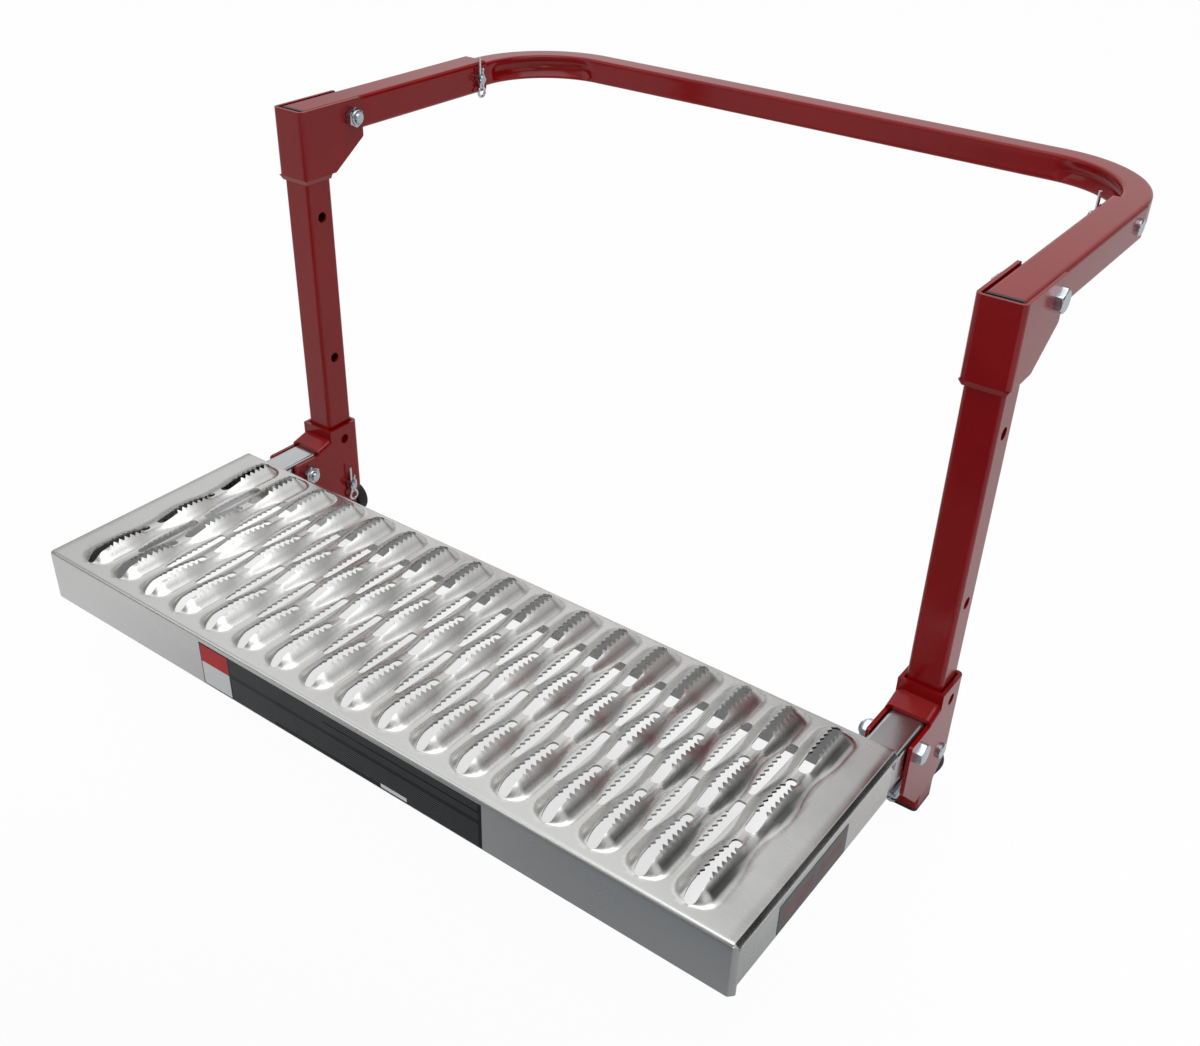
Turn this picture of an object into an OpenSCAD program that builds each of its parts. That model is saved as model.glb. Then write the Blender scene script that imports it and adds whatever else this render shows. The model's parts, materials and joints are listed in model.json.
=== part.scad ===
// Fold-away tyre step: a grip-strut tread hung from two legs, whose arms and
// tube hoop go over a tyre. Millimetres. X runs along the tread, Y from the
// user towards the tyre and Z is up. The modules are drawn from the front top
// edge of the tread at its middle, and placed() moves them to the part's own
// origin: the middle of the step, level with the caps under its legs.

/* [Tread] */
// Length of the tread sheet
tread_len = 745; // [640:1:860]
// Depth of the tread sheet from its front flange to its rear flange
tread_depth = 241; // [200:1:320]
// Thickness of the tread sheet
sheet_t = 2; // [1.5:0.1:2.4]
// Height of the tread's front and rear flanges
flange_h = 51; // [50:1:70]
// Outside bend radius between the tread's top and its flanges
bend_r = 3.5; // [3:0.1:6]
// Height of the short tabs of the rear flange over the support arms
tab_h = 16; // [8:0.5:16.5]
// Space between a support arm and the deep part of the rear flange
notch_gap = 4; // [1:0.5:20]

/* [Grating] */
// Distance between neighbouring ridges
ridge_pitch = 41; // [39:0.5:50]
// Height of a ridge over the flat margins
ridge_h = 8.5; // [4:0.5:9]
// Width of a ridge's flank, from its slot to its foot
flank_w = 12.5; // [9:0.5:13]
// Height of the dips between two slots of a ridge, as a share of the ridge
dip_share = 0.58; // [0.3:0.01:1]
// Flat width kept at each end of the tread
end_margin = 24; // [16:1:40]
// Distance from the tread's front to the tips of the ridges
front_margin = 11.5; // [8:0.5:12.5]
// Least flat depth kept behind the ridges
rear_margin = 4; // [2:0.5:5]
// Length of one slot
slot_len = 68; // [60:1:69]
// Width of one slot
slot_w = 10; // [7:0.5:12]
// Length of the bridge between two slots in line
slot_bridge = 10; // [6:0.5:10]
// Length over which a slot narrows at each end
slot_taper = 4; // [2:0.5:6]
// Width of a slot's tip
slot_tip_w = 4.4; // [3:0.2:6]
// Length of the sloping nose at each end of a ridge
nose_run = 14.5; // [8:0.5:20]

/* [End plates] */
// Thickness of the plate that closes each end of the tread
end_plate_t = 1.5; // [1:0.1:3]
// Depth by which an end plate lies inside the end of the tread sheet
end_recess = 0.5; // [0:0.1:1.5]
// Width of an end plate's lip under the tread sheet
end_lip_w = 15; // [8:1:16]
// Outside bend radius of the lip
end_bend_r = 3; // [2.6:0.1:5]

/* [Square tube] */
// Width of the legs, arms and support arms
tube_w = 32; // [28:0.5:34]
// Wall of the legs, arms and support arms
tube_t = 2.5; // [1.5:0.1:2.6]
// Outside corner radius of that tube
tube_r = 4; // [3:0.5:6]
// Width of the hoop's tube
hoop_w = 25; // [20:0.5:26]
// Wall of the hoop's tube
hoop_t = 2; // [1.8:0.1:2.5]
// Outside corner radius of the hoop's tube
hoop_r = 3; // [2.6:0.2:5]
// Flange thickness of the black caps in the tube ends
cap_t = 3.5; // [2:0.5:6]
// Depth of a cap's plug inside its tube
cap_plug = 12; // [8:1:13]
// Wall of a cap's plug
cap_wall = 2; // [1:0.5:4]
// Gap all round a cap's plug
cap_gap = 0.2; // [0.1:0.05:0.6]

/* [Support arms] */
// Depth of the support arms' axis and the tread pivot under the tread's top
arm_drop = 33; // [32:0.5:34]
// Distance from the tread's rear face back to the tread pivot
pivot_back = 45; // [42:1:60]
// Length of a support arm behind the tread pivot
arm_tail = 24; // [18:1:26]
// Space between a support arm's front end and the front flange
arm_front_gap = 2; // [1:0.5:20]

/* [Legs] */
// Space left between the legs and the tread folded up against them
fold_gap = 6; // [5:0.5:10]
// Length of a leg tube below the tread's top
leg_drop = 130; // [125:1:150]
// Gap between the top of a leg and the arm over it
leg_gap = 0.3; // [0.3:0.1:3]
// Diameter of the height holes
hole_d = 10.5; // [10:0.1:13]
// Height of the lowest height hole over the leg tube's end
first_hole = 60.2; // [56:0.2:64]
// Distance between height holes
hole_pitch = 152.4; // [120:0.1:160]
// Number of height holes in a leg
hole_count = 3; // [1:1:3]

/* [Lower brackets] */
// Sheet thickness of a lower bracket
low_t = 3.5; // [2.5:0.1:4]
// Gap on each side of the tubes between a lower bracket's cheeks
cheek_gap = 1; // [0.3:0.1:2]
// Gap in front of and behind a leg in its sleeve
sleeve_gap = 0.5; // [0.3:0.1:1]
// Height of the sleeve's top over the tread's top
sleeve_top = 2; // [-4:0.5:8]
// Height of the empty upper hole over the height pin
spare_hole_up = 56.3; // [40:0.1:60]
// Distance from the tread pivot forward to the cheeks' front edge
cheek_front = 17; // [14:0.5:24]
// Distance from the tread pivot up to the cheeks' open top edge
cheek_up = 15; // [10:0.5:16]
// Distance from the tread pivot down to the cheeks' front corner
cheek_corner = 35; // [20:1:40]
// Distance from the tread pivot down to the cheeks' bottom edge
cheek_down = 69; // [60:1:69.5]
// Size of the 45 degree corner behind the leg
rear_chamfer = 25; // [10:1:30]
// Length from the cheeks' bottom edge up to the sleeve's front wall
front_wall_up = 13; // [12:0.5:24]
// Space between the hood and the support arm folded up
hood_gap = 1; // [0.5:0.5:4]
// Space between the hood's front edge and the support arm under it
stop_gap = 0.35; // [0.3:0.05:1]
// Rise of the hood's top from its front edge to the sleeve
hood_rise = 5; // [2:0.5:8]
// Outside radius of the folded corners
fold_r = 5; // [4.2:0.2:8]

/* [Top brackets] */
// Sheet thickness of a top bracket
top_t = 3; // [2:0.1:4]
// Gap on each side of the arm between a top bracket's cheeks
arm_gap = 0.3; // [0.3:0.05:1]
// Distance from the top of the leg down to the bracket's lower edge
top_overlap = 33; // [24:1:60]
// Height of the tapered weld under a top bracket
weld_h = 5; // [3:0.5:10]
// Distance from the legs back to the frame pivot
frame_pivot_back = 31; // [28:1:40]
// Distance from the frame pivot back to the bracket's rear edge
top_rear = 14; // [11:0.5:20]
// Distance from the frame pivot down to the start of the rear edge
top_rear_drop = 22; // [14:1:30]

/* [Arms and hoop] */
// Height of the arms' axis over the tread's top
arm_h = 325.2; // [310:0.1:420]
// Gap between an arm's cap and the front wall of its top bracket
stub_gap = 3.5; // [3.3:0.1:6]
// Distance from an arm's capped end to its open rear end
arm_len = 265.5; // [220:0.5:320]
// Distance from the arms' open ends to the back of the hoop
hoop_out = 117; // [114:1:260]
// Length of the hoop's legs inside the arms
hoop_insert = 110; // [60:1:150]
// Radius of the hoop's bends at the middle of the tube
bend_mid_r = 95; // [80:1:98]
// Depth of the groove along the inside of each bend
groove_depth = 1.5; // [0.5:0.1:1.6]
// Radius of that groove
groove_r = 11; // [9:0.5:12]
// Distance from an arm's open end to the hoop pin
hoop_pin_in = 15; // [12:1:24]

/* [Fasteners] */
// Diameter of the pivot bolts and levelling screws
bolt_d = 10; // [8:0.5:10]
// Gap round a pivot bolt in the tube that turns on it
pivot_gap = 0.08; // [0.03:0.01:0.1]
// Gap round a pivot bolt in the sheet that holds it
sheet_gap = 0.25; // [0.1:0.05:0.5]
// Gap between a bolt's shank and its nut
nut_gap = 0.05; // [0.02:0.01:0.1]
// Width across the flats of bolt heads and nuts
hex_af = 17; // [15:0.5:18]
// Thickness of a bolt head
head_t = 6.4; // [5:0.2:8]
// Thickness of a lock nut with its collar
nut_t = 9.5; // [8:0.5:11]
// Length of a bolt past its nut
bolt_over = 2; // [0.5:0.5:6]
// Diameter of the locking pins
pin_d = 9.5; // [8:0.1:9.9]
// Diameter of a locking pin's head
pin_head_d = 14; // [12:0.5:16]
// Thickness of a locking pin's head
pin_head_t = 3; // [2:0.5:4]
// Length of a locking pin past the tube or sleeve it locks
pin_over = 10; // [8:0.5:14]
// Distance from the tube or sleeve to a spring clip's wire
clip_out = 4.5; // [3:0.5:5]
// Diameter of the spring clips' wire
wire_d = 2.8; // [2:0.1:3.2]
// Gap round the wire in its hole through the pin
wire_gap = 0.2; // [0.1:0.05:0.4]
// Length of a clip's straight leg over its pin's axis
clip_leg = 22; // [14:1:30]
// Radius of a clip's ring at the middle of its wire
clip_ring_r = 5; // [4:0.5:8]
// Radius of a clip's turns beside the pin at the middle of its wire
clip_neck_r = 4; // [3:0.5:5]
// Length of a clip's neck between its ring and its turns
clip_neck = 3; // [1:0.5:8]

/* [Levelling pads] */
// Height of a levelling screw over the leg tube's end
screw_up = 24; // [22.5:0.5:25]
// Length of a screw in front of its leg, with its pad screwed fully in
screw_travel = 25.4; // [20:0.2:30]
// Width of the driver's slot across a screw's front end
screw_slot_w = 1.6; // [1:0.1:2.5]
// Depth of the driver's slot
screw_slot_depth = 2.4; // [1:0.1:4]
// Thickness of the nut welded inside a leg
weld_nut_t = 8.4; // [6:0.2:10]
// Diameter of a rubber pad
pad_d = 36; // [28:1:40]
// Thickness of a rubber pad
pad_t = 12.5; // [8:0.5:20]
// Gap between a leg and a pad screwed fully in
pad_gap = 1.5; // [1:0.5:6]
// Depth of a screw's tip inside its pad
pad_bite = 8; // [4:0.5:9]

/* [Labels] */
// Thickness of the labels
label_t = 0.3; // [0.2:0.05:0.5]
// Length of the front label
front_label_len = 317; // [200:1:400]
// Height of the front label
front_label_h = 44.5; // [20:0.5:45]
// Distance from the middle of the tread to the middle of the front label
front_label_x = -3.5; // [-40:0.5:40]
// Depth of the front label's lower edge under the tread's top
front_label_low = 50; // [48:0.5:50]
// Length of the label on the right end plate
side_label_len = 102; // [60:1:160]
// Height of the label on the right end plate
side_label_h = 29; // [16:0.5:36]
// Distance from the tread's front to the side label
side_label_y = 65; // [20:1:100]
// Depth of the side label's lower edge under the tread's top
side_label_low = 50; // [40:0.5:50]

/* [Hidden] */
$fn = 64;
bit = 1;
zinc = [0.72, 0.74, 0.76];
crimson = [0.42, 0.08, 0.12];
blackish = [0.09, 0.09, 0.10];

// Grating: counts and lines that follow from the sizes
slot_step = slot_len + slot_bridge;
ridge_foot = slot_w / 2 + flank_w;
ridge_count = 1 + floor((tread_len - 2 * (end_margin + ridge_foot)) / ridge_pitch);
slot_count = floor((tread_depth - front_margin - rear_margin + slot_bridge) / slot_step);
ridge_end = front_margin + slot_count * slot_step - slot_bridge;
nose_mid = (slot_taper + nose_run) / 2;
half_free = (slot_len - slot_bridge) / 2;
first_crest = front_margin + slot_len / 2;
last_crest = ridge_end - slot_len / 2;

// Tread pivot, legs and sleeves
tread_end = tread_len / 2;
leg_x = tread_end - end_recess - end_plate_t - tube_w / 2;
pivot_y = tread_depth + pivot_back;
pivot_z = -arm_drop;
leg_front = pivot_y + arm_drop + fold_gap;
leg_y = leg_front + tube_w / 2;
leg_rear = leg_front + tube_w;
leg_top = arm_h - tube_w / 2 - leg_gap;
pin_z = first_hole - leg_drop;
spare_z = pin_z + spare_hole_up;
sleeve_front = leg_front - sleeve_gap - low_t;
sleeve_rear = leg_rear + sleeve_gap + low_t;
low_in = tube_w / 2 + cheek_gap;
low_out = low_in + low_t;
hood_front = pivot_y + tube_w / 2 + hood_gap;
hood_run = sleeve_front - hood_front;
hood_tilt = atan2(hood_rise, hood_run);
hood_low_z = pivot_z + tube_w / 2 + stop_gap + low_t / cos(hood_tilt);
cheek_low = pivot_z - cheek_down;

// Frame pivot, arms and hoop
top_in = tube_w / 2 + arm_gap;
top_out = top_in + top_t;
frame_y = leg_rear + frame_pivot_back;
top_low = leg_top - top_overlap;
top_high = arm_h + tube_w / 2 + leg_gap;
arm_front = leg_front + stub_gap;
arm_rear = arm_front + arm_len;
hoop_rear = arm_rear + hoop_out;
hoop_bar_y = hoop_rear - hoop_w / 2;
bend_y = hoop_bar_y - bend_mid_r;
bend_x = leg_x - bend_mid_r;
hoop_pin_y = arm_rear - hoop_pin_in;

// Levelling screws
screw_z = screw_up - leg_drop;
screw_tip_y = leg_front - screw_travel;
pad_y = leg_rear + pad_gap;

// Origin of the part
origin_y = (hoop_rear - label_t) / 2;
origin_z = leg_drop + cap_t;

// Moves what is drawn from the tread's front edge to the part's own origin
module placed() {
    translate([0, -origin_y, origin_z]) children();
}

// Puts what is drawn round x = 0 on the right leg, or mirrored on the left
module on_side(side) {
    mirror([side < 0 ? 1 : 0, 0, 0]) translate([leg_x, 0, 0]) children();
}

// Extrudes a side view, drawn as [y, z], between two places along X
module side_view(x0, x1) {
    translate([x0, 0, 0]) rotate([90, 0, 90]) linear_extrude(x1 - x0) children();
}

function unit(v) = v / norm(v);

// Points of the arc that rounds corner p between its neighbours a and b
function rounded(a, p, b, r, steps = 4) =
    let (
        u = unit(a - p),
        v = unit(b - p),
        half = acos(u * v) / 2,
        centre = p + unit(u + v) * r / sin(half),
        from = p + u * r / tan(half) - centre,
        to = p + v * r / tan(half) - centre,
        start = atan2(from[1], from[0]),
        sweep = atan2(from[0] * to[1] - from[1] * to[0], from * to)
    )
    [for (i = [0:steps]) centre + r * [cos(start + sweep * i / steps), sin(start + sweep * i / steps)]];

// A polygon whose corners are given as [x, y, radius]
function soft_outline(corners) =
    let (n = len(corners))
    [for (i = [0:n - 1])
        let (
            c = corners[i],
            p = [c[0], c[1]],
            before = corners[(i + n - 1) % n],
            after = corners[(i + 1) % n]
        )
        each c[2] == 0 ? [p] : rounded([before[0], before[1]], p, [after[0], after[1]], c[2])
    ];

// A square with round corners, centred
module round_square(w, r) {
    square([w - 2 * r, w], center = true);
    square([w, w - 2 * r], center = true);
    for (x = [-1, 1], y = [-1, 1]) {
        translate([x * (w / 2 - r), y * (w / 2 - r)]) circle(r);
    }
}

// The section of a square tube, centred
module tube_section(w, t, r) {
    $fn = 32;
    difference() {
        round_square(w, r);
        round_square(w - 2 * t, max(r - t, 0.4));
    }
}

// A hexagon bar along Z from z = 0, its corners turned off low or high
module hex_bar(h, low = false, high = false) {
    face_r = hex_af * 0.475;
    out_r = hex_af / sqrt(3) + bit;
    cut = (out_r - face_r) * tan(30);
    intersection() {
        cylinder(h = h, r = hex_af / sqrt(3), $fn = 6);
        rotate_extrude() polygon(concat(
            [[0, 0]],
            low ? [[face_r, 0], [out_r, cut]] : [[out_r, 0]],
            high ? [[out_r, h - cut], [face_r, h]] : [[out_r, h]],
            [[0, h]]
        ));
    }
}

// A bolt along Z: its head lies below z = 0 and its shank above
module bolt(d, length) {
    mirror([0, 0, 1]) hex_bar(head_t, high = true);
    rotate_extrude() polygon([
        [0, -bit],
        [d / 2, -bit],
        [d / 2, length - 1],
        [d / 2 - 1, length],
        [0, length]
    ]);
}

// A lock nut along Z from z = 0, with its round collar on the far side
module lock_nut() {
    collar_h = nut_t / 4;
    collar_r = hex_af * 0.44;
    difference() {
        union() {
            hex_bar(nut_t - collar_h, low = true);
            rotate_extrude() polygon([
                [0, bit],
                [collar_r, bit],
                [collar_r, nut_t - 0.8],
                [collar_r - 0.8, nut_t],
                [0, nut_t]
            ]);
        }
        translate([0, 0, -bit]) cylinder(h = nut_t + 2 * bit, d = bolt_d + 2 * nut_gap);
    }
}

// A locking pin along Z: its head lies below z = 0, and the cross hole for
// its clip goes through along X past the grip
module locking_pin(grip) {
    tip = grip + pin_over;
    difference() {
        rotate_extrude() polygon([
            [0, -pin_head_t],
            [pin_head_d / 2 - 0.8, -pin_head_t],
            [pin_head_d / 2, 0.8 - pin_head_t],
            [pin_head_d / 2, 0],
            [pin_d / 2, 0],
            [pin_d / 2, tip - 1.5],
            [pin_d / 2 - 1.5, tip],
            [0, tip]
        ]);
        translate([0, 0, grip + clip_out]) rotate([0, 90, 0]) {
            cylinder(h = pin_d + 2 * bit, d = wire_d + 2 * wire_gap, center = true);
        }
    }
}

// An arc of the clip's wire in the plane of Y and Z, its angles from +Y to +Z
module wire_arc(y, z, r, start, sweep) {
    translate([0, y, z]) rotate([90, 0, 90]) rotate([0, 0, start]) rotate_extrude(angle = sweep) {
        translate([r, 0]) circle(d = wire_d);
    }
}

// A spring clip round a pin that lies along X through the origin: a straight
// leg up through the pin, a leg bent round the pin, and a ring below both
module spring_clip() {
    hug_r = pin_d / 2 + wire_d / 2 + wire_gap;
    hug = 38;
    flare = 50;
    turn_y = (hug_r + clip_neck_r) * cos(hug);
    turn_z = (hug_r + clip_neck_r) * sin(hug);
    neck_y = turn_y - clip_neck_r;
    reach = sqrt(pow(clip_ring_r, 2) - pow(neck_y / 2, 2));
    ring_z = -turn_z - clip_neck - reach;
    wire_arc(0, 0, hug_r, -hug, 2 * hug);
    wire_arc(turn_y, -turn_z, clip_neck_r, 180 - hug, hug);
    wire_arc(turn_y, turn_z, clip_neck_r, 180 - flare, flare + hug);
    wire_arc(neck_y / 2, ring_z, clip_ring_r, 0, 360);
    translate([0, neck_y, ring_z + reach]) cylinder(h = clip_neck, d = wire_d);
    translate([0, 0, ring_z + reach]) cylinder(h = clip_leg - ring_z - reach, d = wire_d);
}

// The plan of a folded channel, closed at y = closed and open at y = open
module channel_plan(half_out, t, closed, open, r) {
    way = open > closed ? 1 : -1;
    half_in = half_out - t;
    polygon(soft_outline([
        [half_out, open, 0],
        [half_out, closed, r],
        [-half_out, closed, r],
        [-half_out, open, 0],
        [-half_in, open, 0],
        [-half_in, closed + way * t, r - t],
        [half_in, closed + way * t, r - t],
        [half_in, open, 0]
    ]));
}

// Half width of a slot at depth y, in a line of slots that starts at first
function slot_half(y, first, count) =
    let (
        k = max(0, min(count - 1, floor((y - first) / slot_step))),
        inside = min(y - first - k * slot_step, first + k * slot_step + slot_len - y),
        share = max(0, min(1, inside / slot_taper))
    )
    (slot_tip_w + (slot_w - slot_tip_w) * share) / 2;

// Whether depth y is in one of the slots of such a line
function in_slot(y, first, count) =
    let (k = floor((y - first) / slot_step))
    k >= 0 && k < count && y - first - k * slot_step < slot_len;

// Share of the full height that a ridge has at depth y between its noses:
// full at the middle of a slot and dip_share at a bridge
function wave(y) =
    y < first_crest || y > last_crest
        ? 1
        : dip_share + (1 - dip_share) * (1 + cos(360 * (y - first_crest) / slot_step)) / 2;

// How far depth y is into a nose: 0 at a ridge's tip and 1 past the nose
function nose_share(y, run) = max(0, min(1, (y - front_margin) / run, (ridge_end - y) / run));

// Half width of a ridge's foot at depth y: its noses are rounded
function foot_half(y) =
    sqrt(1 - pow(1 - nose_share(y, nose_run + 2), 2)) * (slot_w / 2 + flank_w * wave(y));

// Height of a ridge at depth y, off places to the side of its crest
function ridge_z(off, y) =
    let (foot = foot_half(y), crest = ridge_h * wave(y) * nose_share(y, nose_run))
    off >= foot ? 0 : crest * min(1, (foot - off) / max(1, foot - slot_w / 2));

function ridge_x(i) = (i - (ridge_count - 1) / 2) * ridge_pitch;

// The depths of the grid's rows: the ends and shoulders of all the slots,
// and the noses of the ridges
ridge_rows = [for (k = [0:slot_count - 1])
    let (s = front_margin + k * slot_step, first = k == 0, last = k == slot_count - 1)
    each [
        s,
        s + slot_taper,
        s + (first ? nose_mid : half_free - slot_taper),
        s + (first ? nose_run : half_free),
        s + (last ? slot_len - nose_run : slot_step / 2),
        s + (last ? slot_len - nose_mid : slot_step / 2 + slot_taper),
        s + slot_len - slot_taper,
        s + slot_len
    ]
];
row_count = len(ridge_rows);
row_size = 4 * ridge_count;

// One row of points on the tread's top: a ridge's foot, then the two edges of
// each slot line in turn, on a ridge and in a valley, and the last foot
function row_points(y) =
    let (
        foot = max(foot_half(y), slot_w),
        a = slot_half(y, front_margin, slot_count),
        b = slot_half(y, front_margin + slot_step / 2, slot_count - 1),
        za = ridge_z(a, y),
        zb = ridge_z(ridge_pitch / 2 - b, y)
    )
    [
        [ridge_x(0) - foot, y, 0],
        for (i = [0:ridge_count - 1]) each [
            [ridge_x(i) - a, y, za],
            [ridge_x(i) + a, y, za],
            if (i < ridge_count - 1) [ridge_x(i) + ridge_pitch / 2 - b, y, zb],
            if (i < ridge_count - 1) [ridge_x(i) + ridge_pitch / 2 + b, y, zb]
        ],
        [ridge_x(ridge_count - 1) + foot, y, 0]
    ];

// Whether the cell after row r and point j is open
function cell_open(r, j) =
    r < 0 || r > row_count - 2 ? false :
    let (y = (ridge_rows[r] + ridge_rows[r + 1]) / 2)
    j % 4 == 1 ? in_slot(y, front_margin, slot_count)
        : j % 4 == 3 ? in_slot(y, front_margin + slot_step / 2, slot_count - 1)
        : false;

// Triangles between the edge from corner p to corner q and a line of points
// that runs beside it from p's end to q's end
function margin(p, q, line) =
    let (half = floor(len(line) / 2))
    [
        for (i = [0:half - 1]) [p, line[i], line[i + 1]],
        [p, line[half], q],
        for (i = [half:len(line) - 2]) [q, line[i], line[i + 1]]
    ];

// The tread: one folded sheet with raised, slotted ridges. Its top is a grid
// of cells, its margins are flat outlines round the grid, and its flanges are
// paths of four points: left and right, outside and then inside
module tread_plank() {
    inner_r = bend_r - sheet_t;
    notch_x = leg_x - tube_w / 2 - notch_gap;
    top = [for (y = ridge_rows) each row_points(y)];
    under = [for (p = top) p - [0, 0, sheet_t]];
    ends = [-tread_end, tread_end];
    bend = [for (i = [0:4]) 22.5 * i];
    front = [
        for (a = bend) each [
            for (x = ends) [x, bend_r - bend_r * sin(a), bend_r * cos(a) - bend_r],
            for (x = ends) [x, bend_r - inner_r * sin(a), inner_r * cos(a) - bend_r]
        ],
        for (x = ends) [x, 0, -flange_h],
        for (x = ends) [x, sheet_t, -flange_h]
    ];
    rear = [
        for (a = bend) each [
            for (x = ends) [x, tread_depth - bend_r + bend_r * sin(a), bend_r * cos(a) - bend_r],
            for (x = ends) [x, tread_depth - bend_r + inner_r * sin(a), inner_r * cos(a) - bend_r]
        ]
    ];
    steps = [
        [-tread_end, -tab_h], [-notch_x, -tab_h], [-notch_x, -flange_h],
        [notch_x, -flange_h], [notch_x, -tab_h], [tread_end, -tab_h]
    ];
    chain = [
        for (s = steps) [s[0], tread_depth, s[1]],
        for (s = steps) [s[0], tread_depth - sheet_t, s[1]]
    ];
    u = len(top);
    f = 2 * u;
    b = f + len(front);
    c = b + len(rear);
    n = row_size;
    m = row_count - 1;
    stations = [for (i = [5:-1:0]) f + 4 * i, for (i = [0:4]) b + 4 * i];
    cells = [for (r = [0:m - 1], j = [0:n - 2]) if (!cell_open(r, j)) [r, j]];
    holes = [for (r = [0:m - 1], j = [0:n - 2]) if (cell_open(r, j)) [r, j]];
    faces = [
        for (cell = cells) let (p = cell[0] * n + cell[1]) each [
            [p, p + n, p + n + 1],
            [p, p + n + 1, p + 1],
            [u + p, u + p + n + 1, u + p + n],
            [u + p, u + p + 1, u + p + n + 1]
        ],
        for (cell = holes) let (r = cell[0], j = cell[1], p = r * n + j) each [
            [p, p + n, u + p + n, u + p],
            [p + n + 1, p + 1, u + p + 1, u + p + n + 1],
            if (!cell_open(r - 1, j)) [p + 1, p, u + p, u + p + 1],
            if (!cell_open(r + 1, j)) [p + n, p + n + 1, u + p + n + 1, u + p + n]
        ],
        // flat margins, on top and underneath
        each margin(f, f + 1, [for (j = [0:n - 1]) j]),
        each margin(f + 3, f + 2, [for (j = [n - 1:-1:0]) u + j]),
        each margin(b + 1, b, [for (j = [n - 1:-1:0]) m * n + j]),
        each margin(b + 2, b + 3, [for (j = [0:n - 1]) u + m * n + j]),
        each margin(b, f, [for (r = [m:-1:0]) r * n]),
        each margin(f + 2, b + 2, [for (r = [0:m]) u + r * n]),
        each margin(f + 1, b + 1, [for (r = [0:m]) r * n + n - 1]),
        each margin(b + 3, f + 3, [for (r = [m:-1:0]) u + r * n + n - 1]),
        // front flange and its bend
        for (i = [0:4]) let (p = f + 4 * i) each [
            [p, p + 1, p + 5, p + 4],
            [p + 2, p + 6, p + 7, p + 3]
        ],
        [f + 20, f + 21, f + 23, f + 22],
        // rear bend and its stepped flange
        for (i = [0:3]) let (p = b + 4 * i) each [
            [p + 1, p, p + 4, p + 5],
            [p + 3, p + 7, p + 6, p + 2]
        ],
        [b + 17, b + 16, c, c + 1, c + 4, c + 5],
        [c + 1, c + 2, c + 3, c + 4],
        [b + 18, b + 19, c + 11, c + 10, c + 7, c + 6],
        [c + 10, c + 9, c + 8, c + 7],
        for (i = [0:4]) [c + 6 + i, c + 7 + i, c + 1 + i, c + i],
        // the two ends of the folded sheet
        for (i = [0:len(stations) - 2]) let (p = stations[i], q = stations[i + 1]) each [
            [p, p + 2, q + 2, q],
            [p + 1, q + 1, q + 3, p + 3]
        ],
        [b + 16, b + 18, c + 6, c],
        [b + 17, c + 5, c + 11, b + 19]
    ];
    color(zinc) placed() polyhedron(points = concat(top, under, front, rear, chain), faces = faces);
}

// A plate with a lip under the tread, closing one end of it
module end_plate(side) {
    x_out = tread_end - end_recess;
    x_in = x_out - end_plate_t;
    x_lip = x_out - end_lip_w;
    color(zinc) placed() mirror([side < 0 ? 1 : 0, 0, 0]) intersection() {
        translate([0, tread_depth, 0]) rotate([90, 0, 0]) linear_extrude(tread_depth) {
            polygon(soft_outline([
                [x_out, -flange_h, 0],
                [x_out, -sheet_t, end_bend_r],
                [x_lip, -sheet_t, 0],
                [x_lip, -sheet_t - end_plate_t, 0],
                [x_in, -sheet_t - end_plate_t, end_bend_r - end_plate_t],
                [x_in, -flange_h, 0]
            ]));
        }
        side_view(x_lip - bit, x_out + bit) polygon(soft_outline([
            [sheet_t, -flange_h, 0],
            [tread_depth - sheet_t, -flange_h, 0],
            [tread_depth - sheet_t, -sheet_t, bend_r],
            [sheet_t, -sheet_t, bend_r]
        ]));
    }
}

// A length of square tube along Y
module tube_along_y(y0, y1, z, w, t, r) {
    translate([0, y0, z]) rotate([-90, 0, 0]) linear_extrude(y1 - y0) tube_section(w, t, r);
}

// A hole along X through everything at a place in the side view
module hole_along_x(y, z, d) {
    translate([0, y, z]) rotate([0, 90, 0]) cylinder(h = 4 * tube_w, d = d, center = true);
}

module support_arm(side) {
    color(zinc) placed() on_side(side) difference() {
        tube_along_y(sheet_t + arm_front_gap, pivot_y + arm_tail, pivot_z, tube_w, tube_t, tube_r);
        hole_along_x(pivot_y, pivot_z, bolt_d + 2 * pivot_gap);
    }
}

module upright(side) {
    color(crimson) placed() on_side(side) difference() {
        translate([0, leg_y, -leg_drop]) linear_extrude(leg_drop + leg_top) {
            tube_section(tube_w, tube_t, tube_r);
        }
        for (k = [0:hole_count - 1]) {
            hole_along_x(leg_y, pin_z + k * hole_pitch, hole_d);
        }
        translate([0, leg_y, screw_z]) rotate([90, 0, 0]) {
            cylinder(h = 2 * tube_w, d = bolt_d + 2 * bit, center = true);
        }
    }
}

// A black plug cap along Z: its flange is below z = 0 and its plug above
module plug_cap() {
    plug_w = tube_w - 2 * tube_t - 2 * cap_gap;
    translate([0, 0, -cap_t]) linear_extrude(cap_t) round_square(tube_w, tube_r);
    translate([0, 0, -bit]) linear_extrude(cap_plug + bit) {
        tube_section(plug_w, cap_wall, max(tube_r - tube_t, 0.5));
    }
}

module foot_cap(side) {
    color(blackish) placed() on_side(side) translate([0, leg_y, -leg_drop]) plug_cap();
}

module arm_cap(side) {
    color(blackish) placed() on_side(side) {
        translate([0, arm_front + cap_t, arm_h]) rotate([-90, 0, 0]) plug_cap();
    }
}

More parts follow.
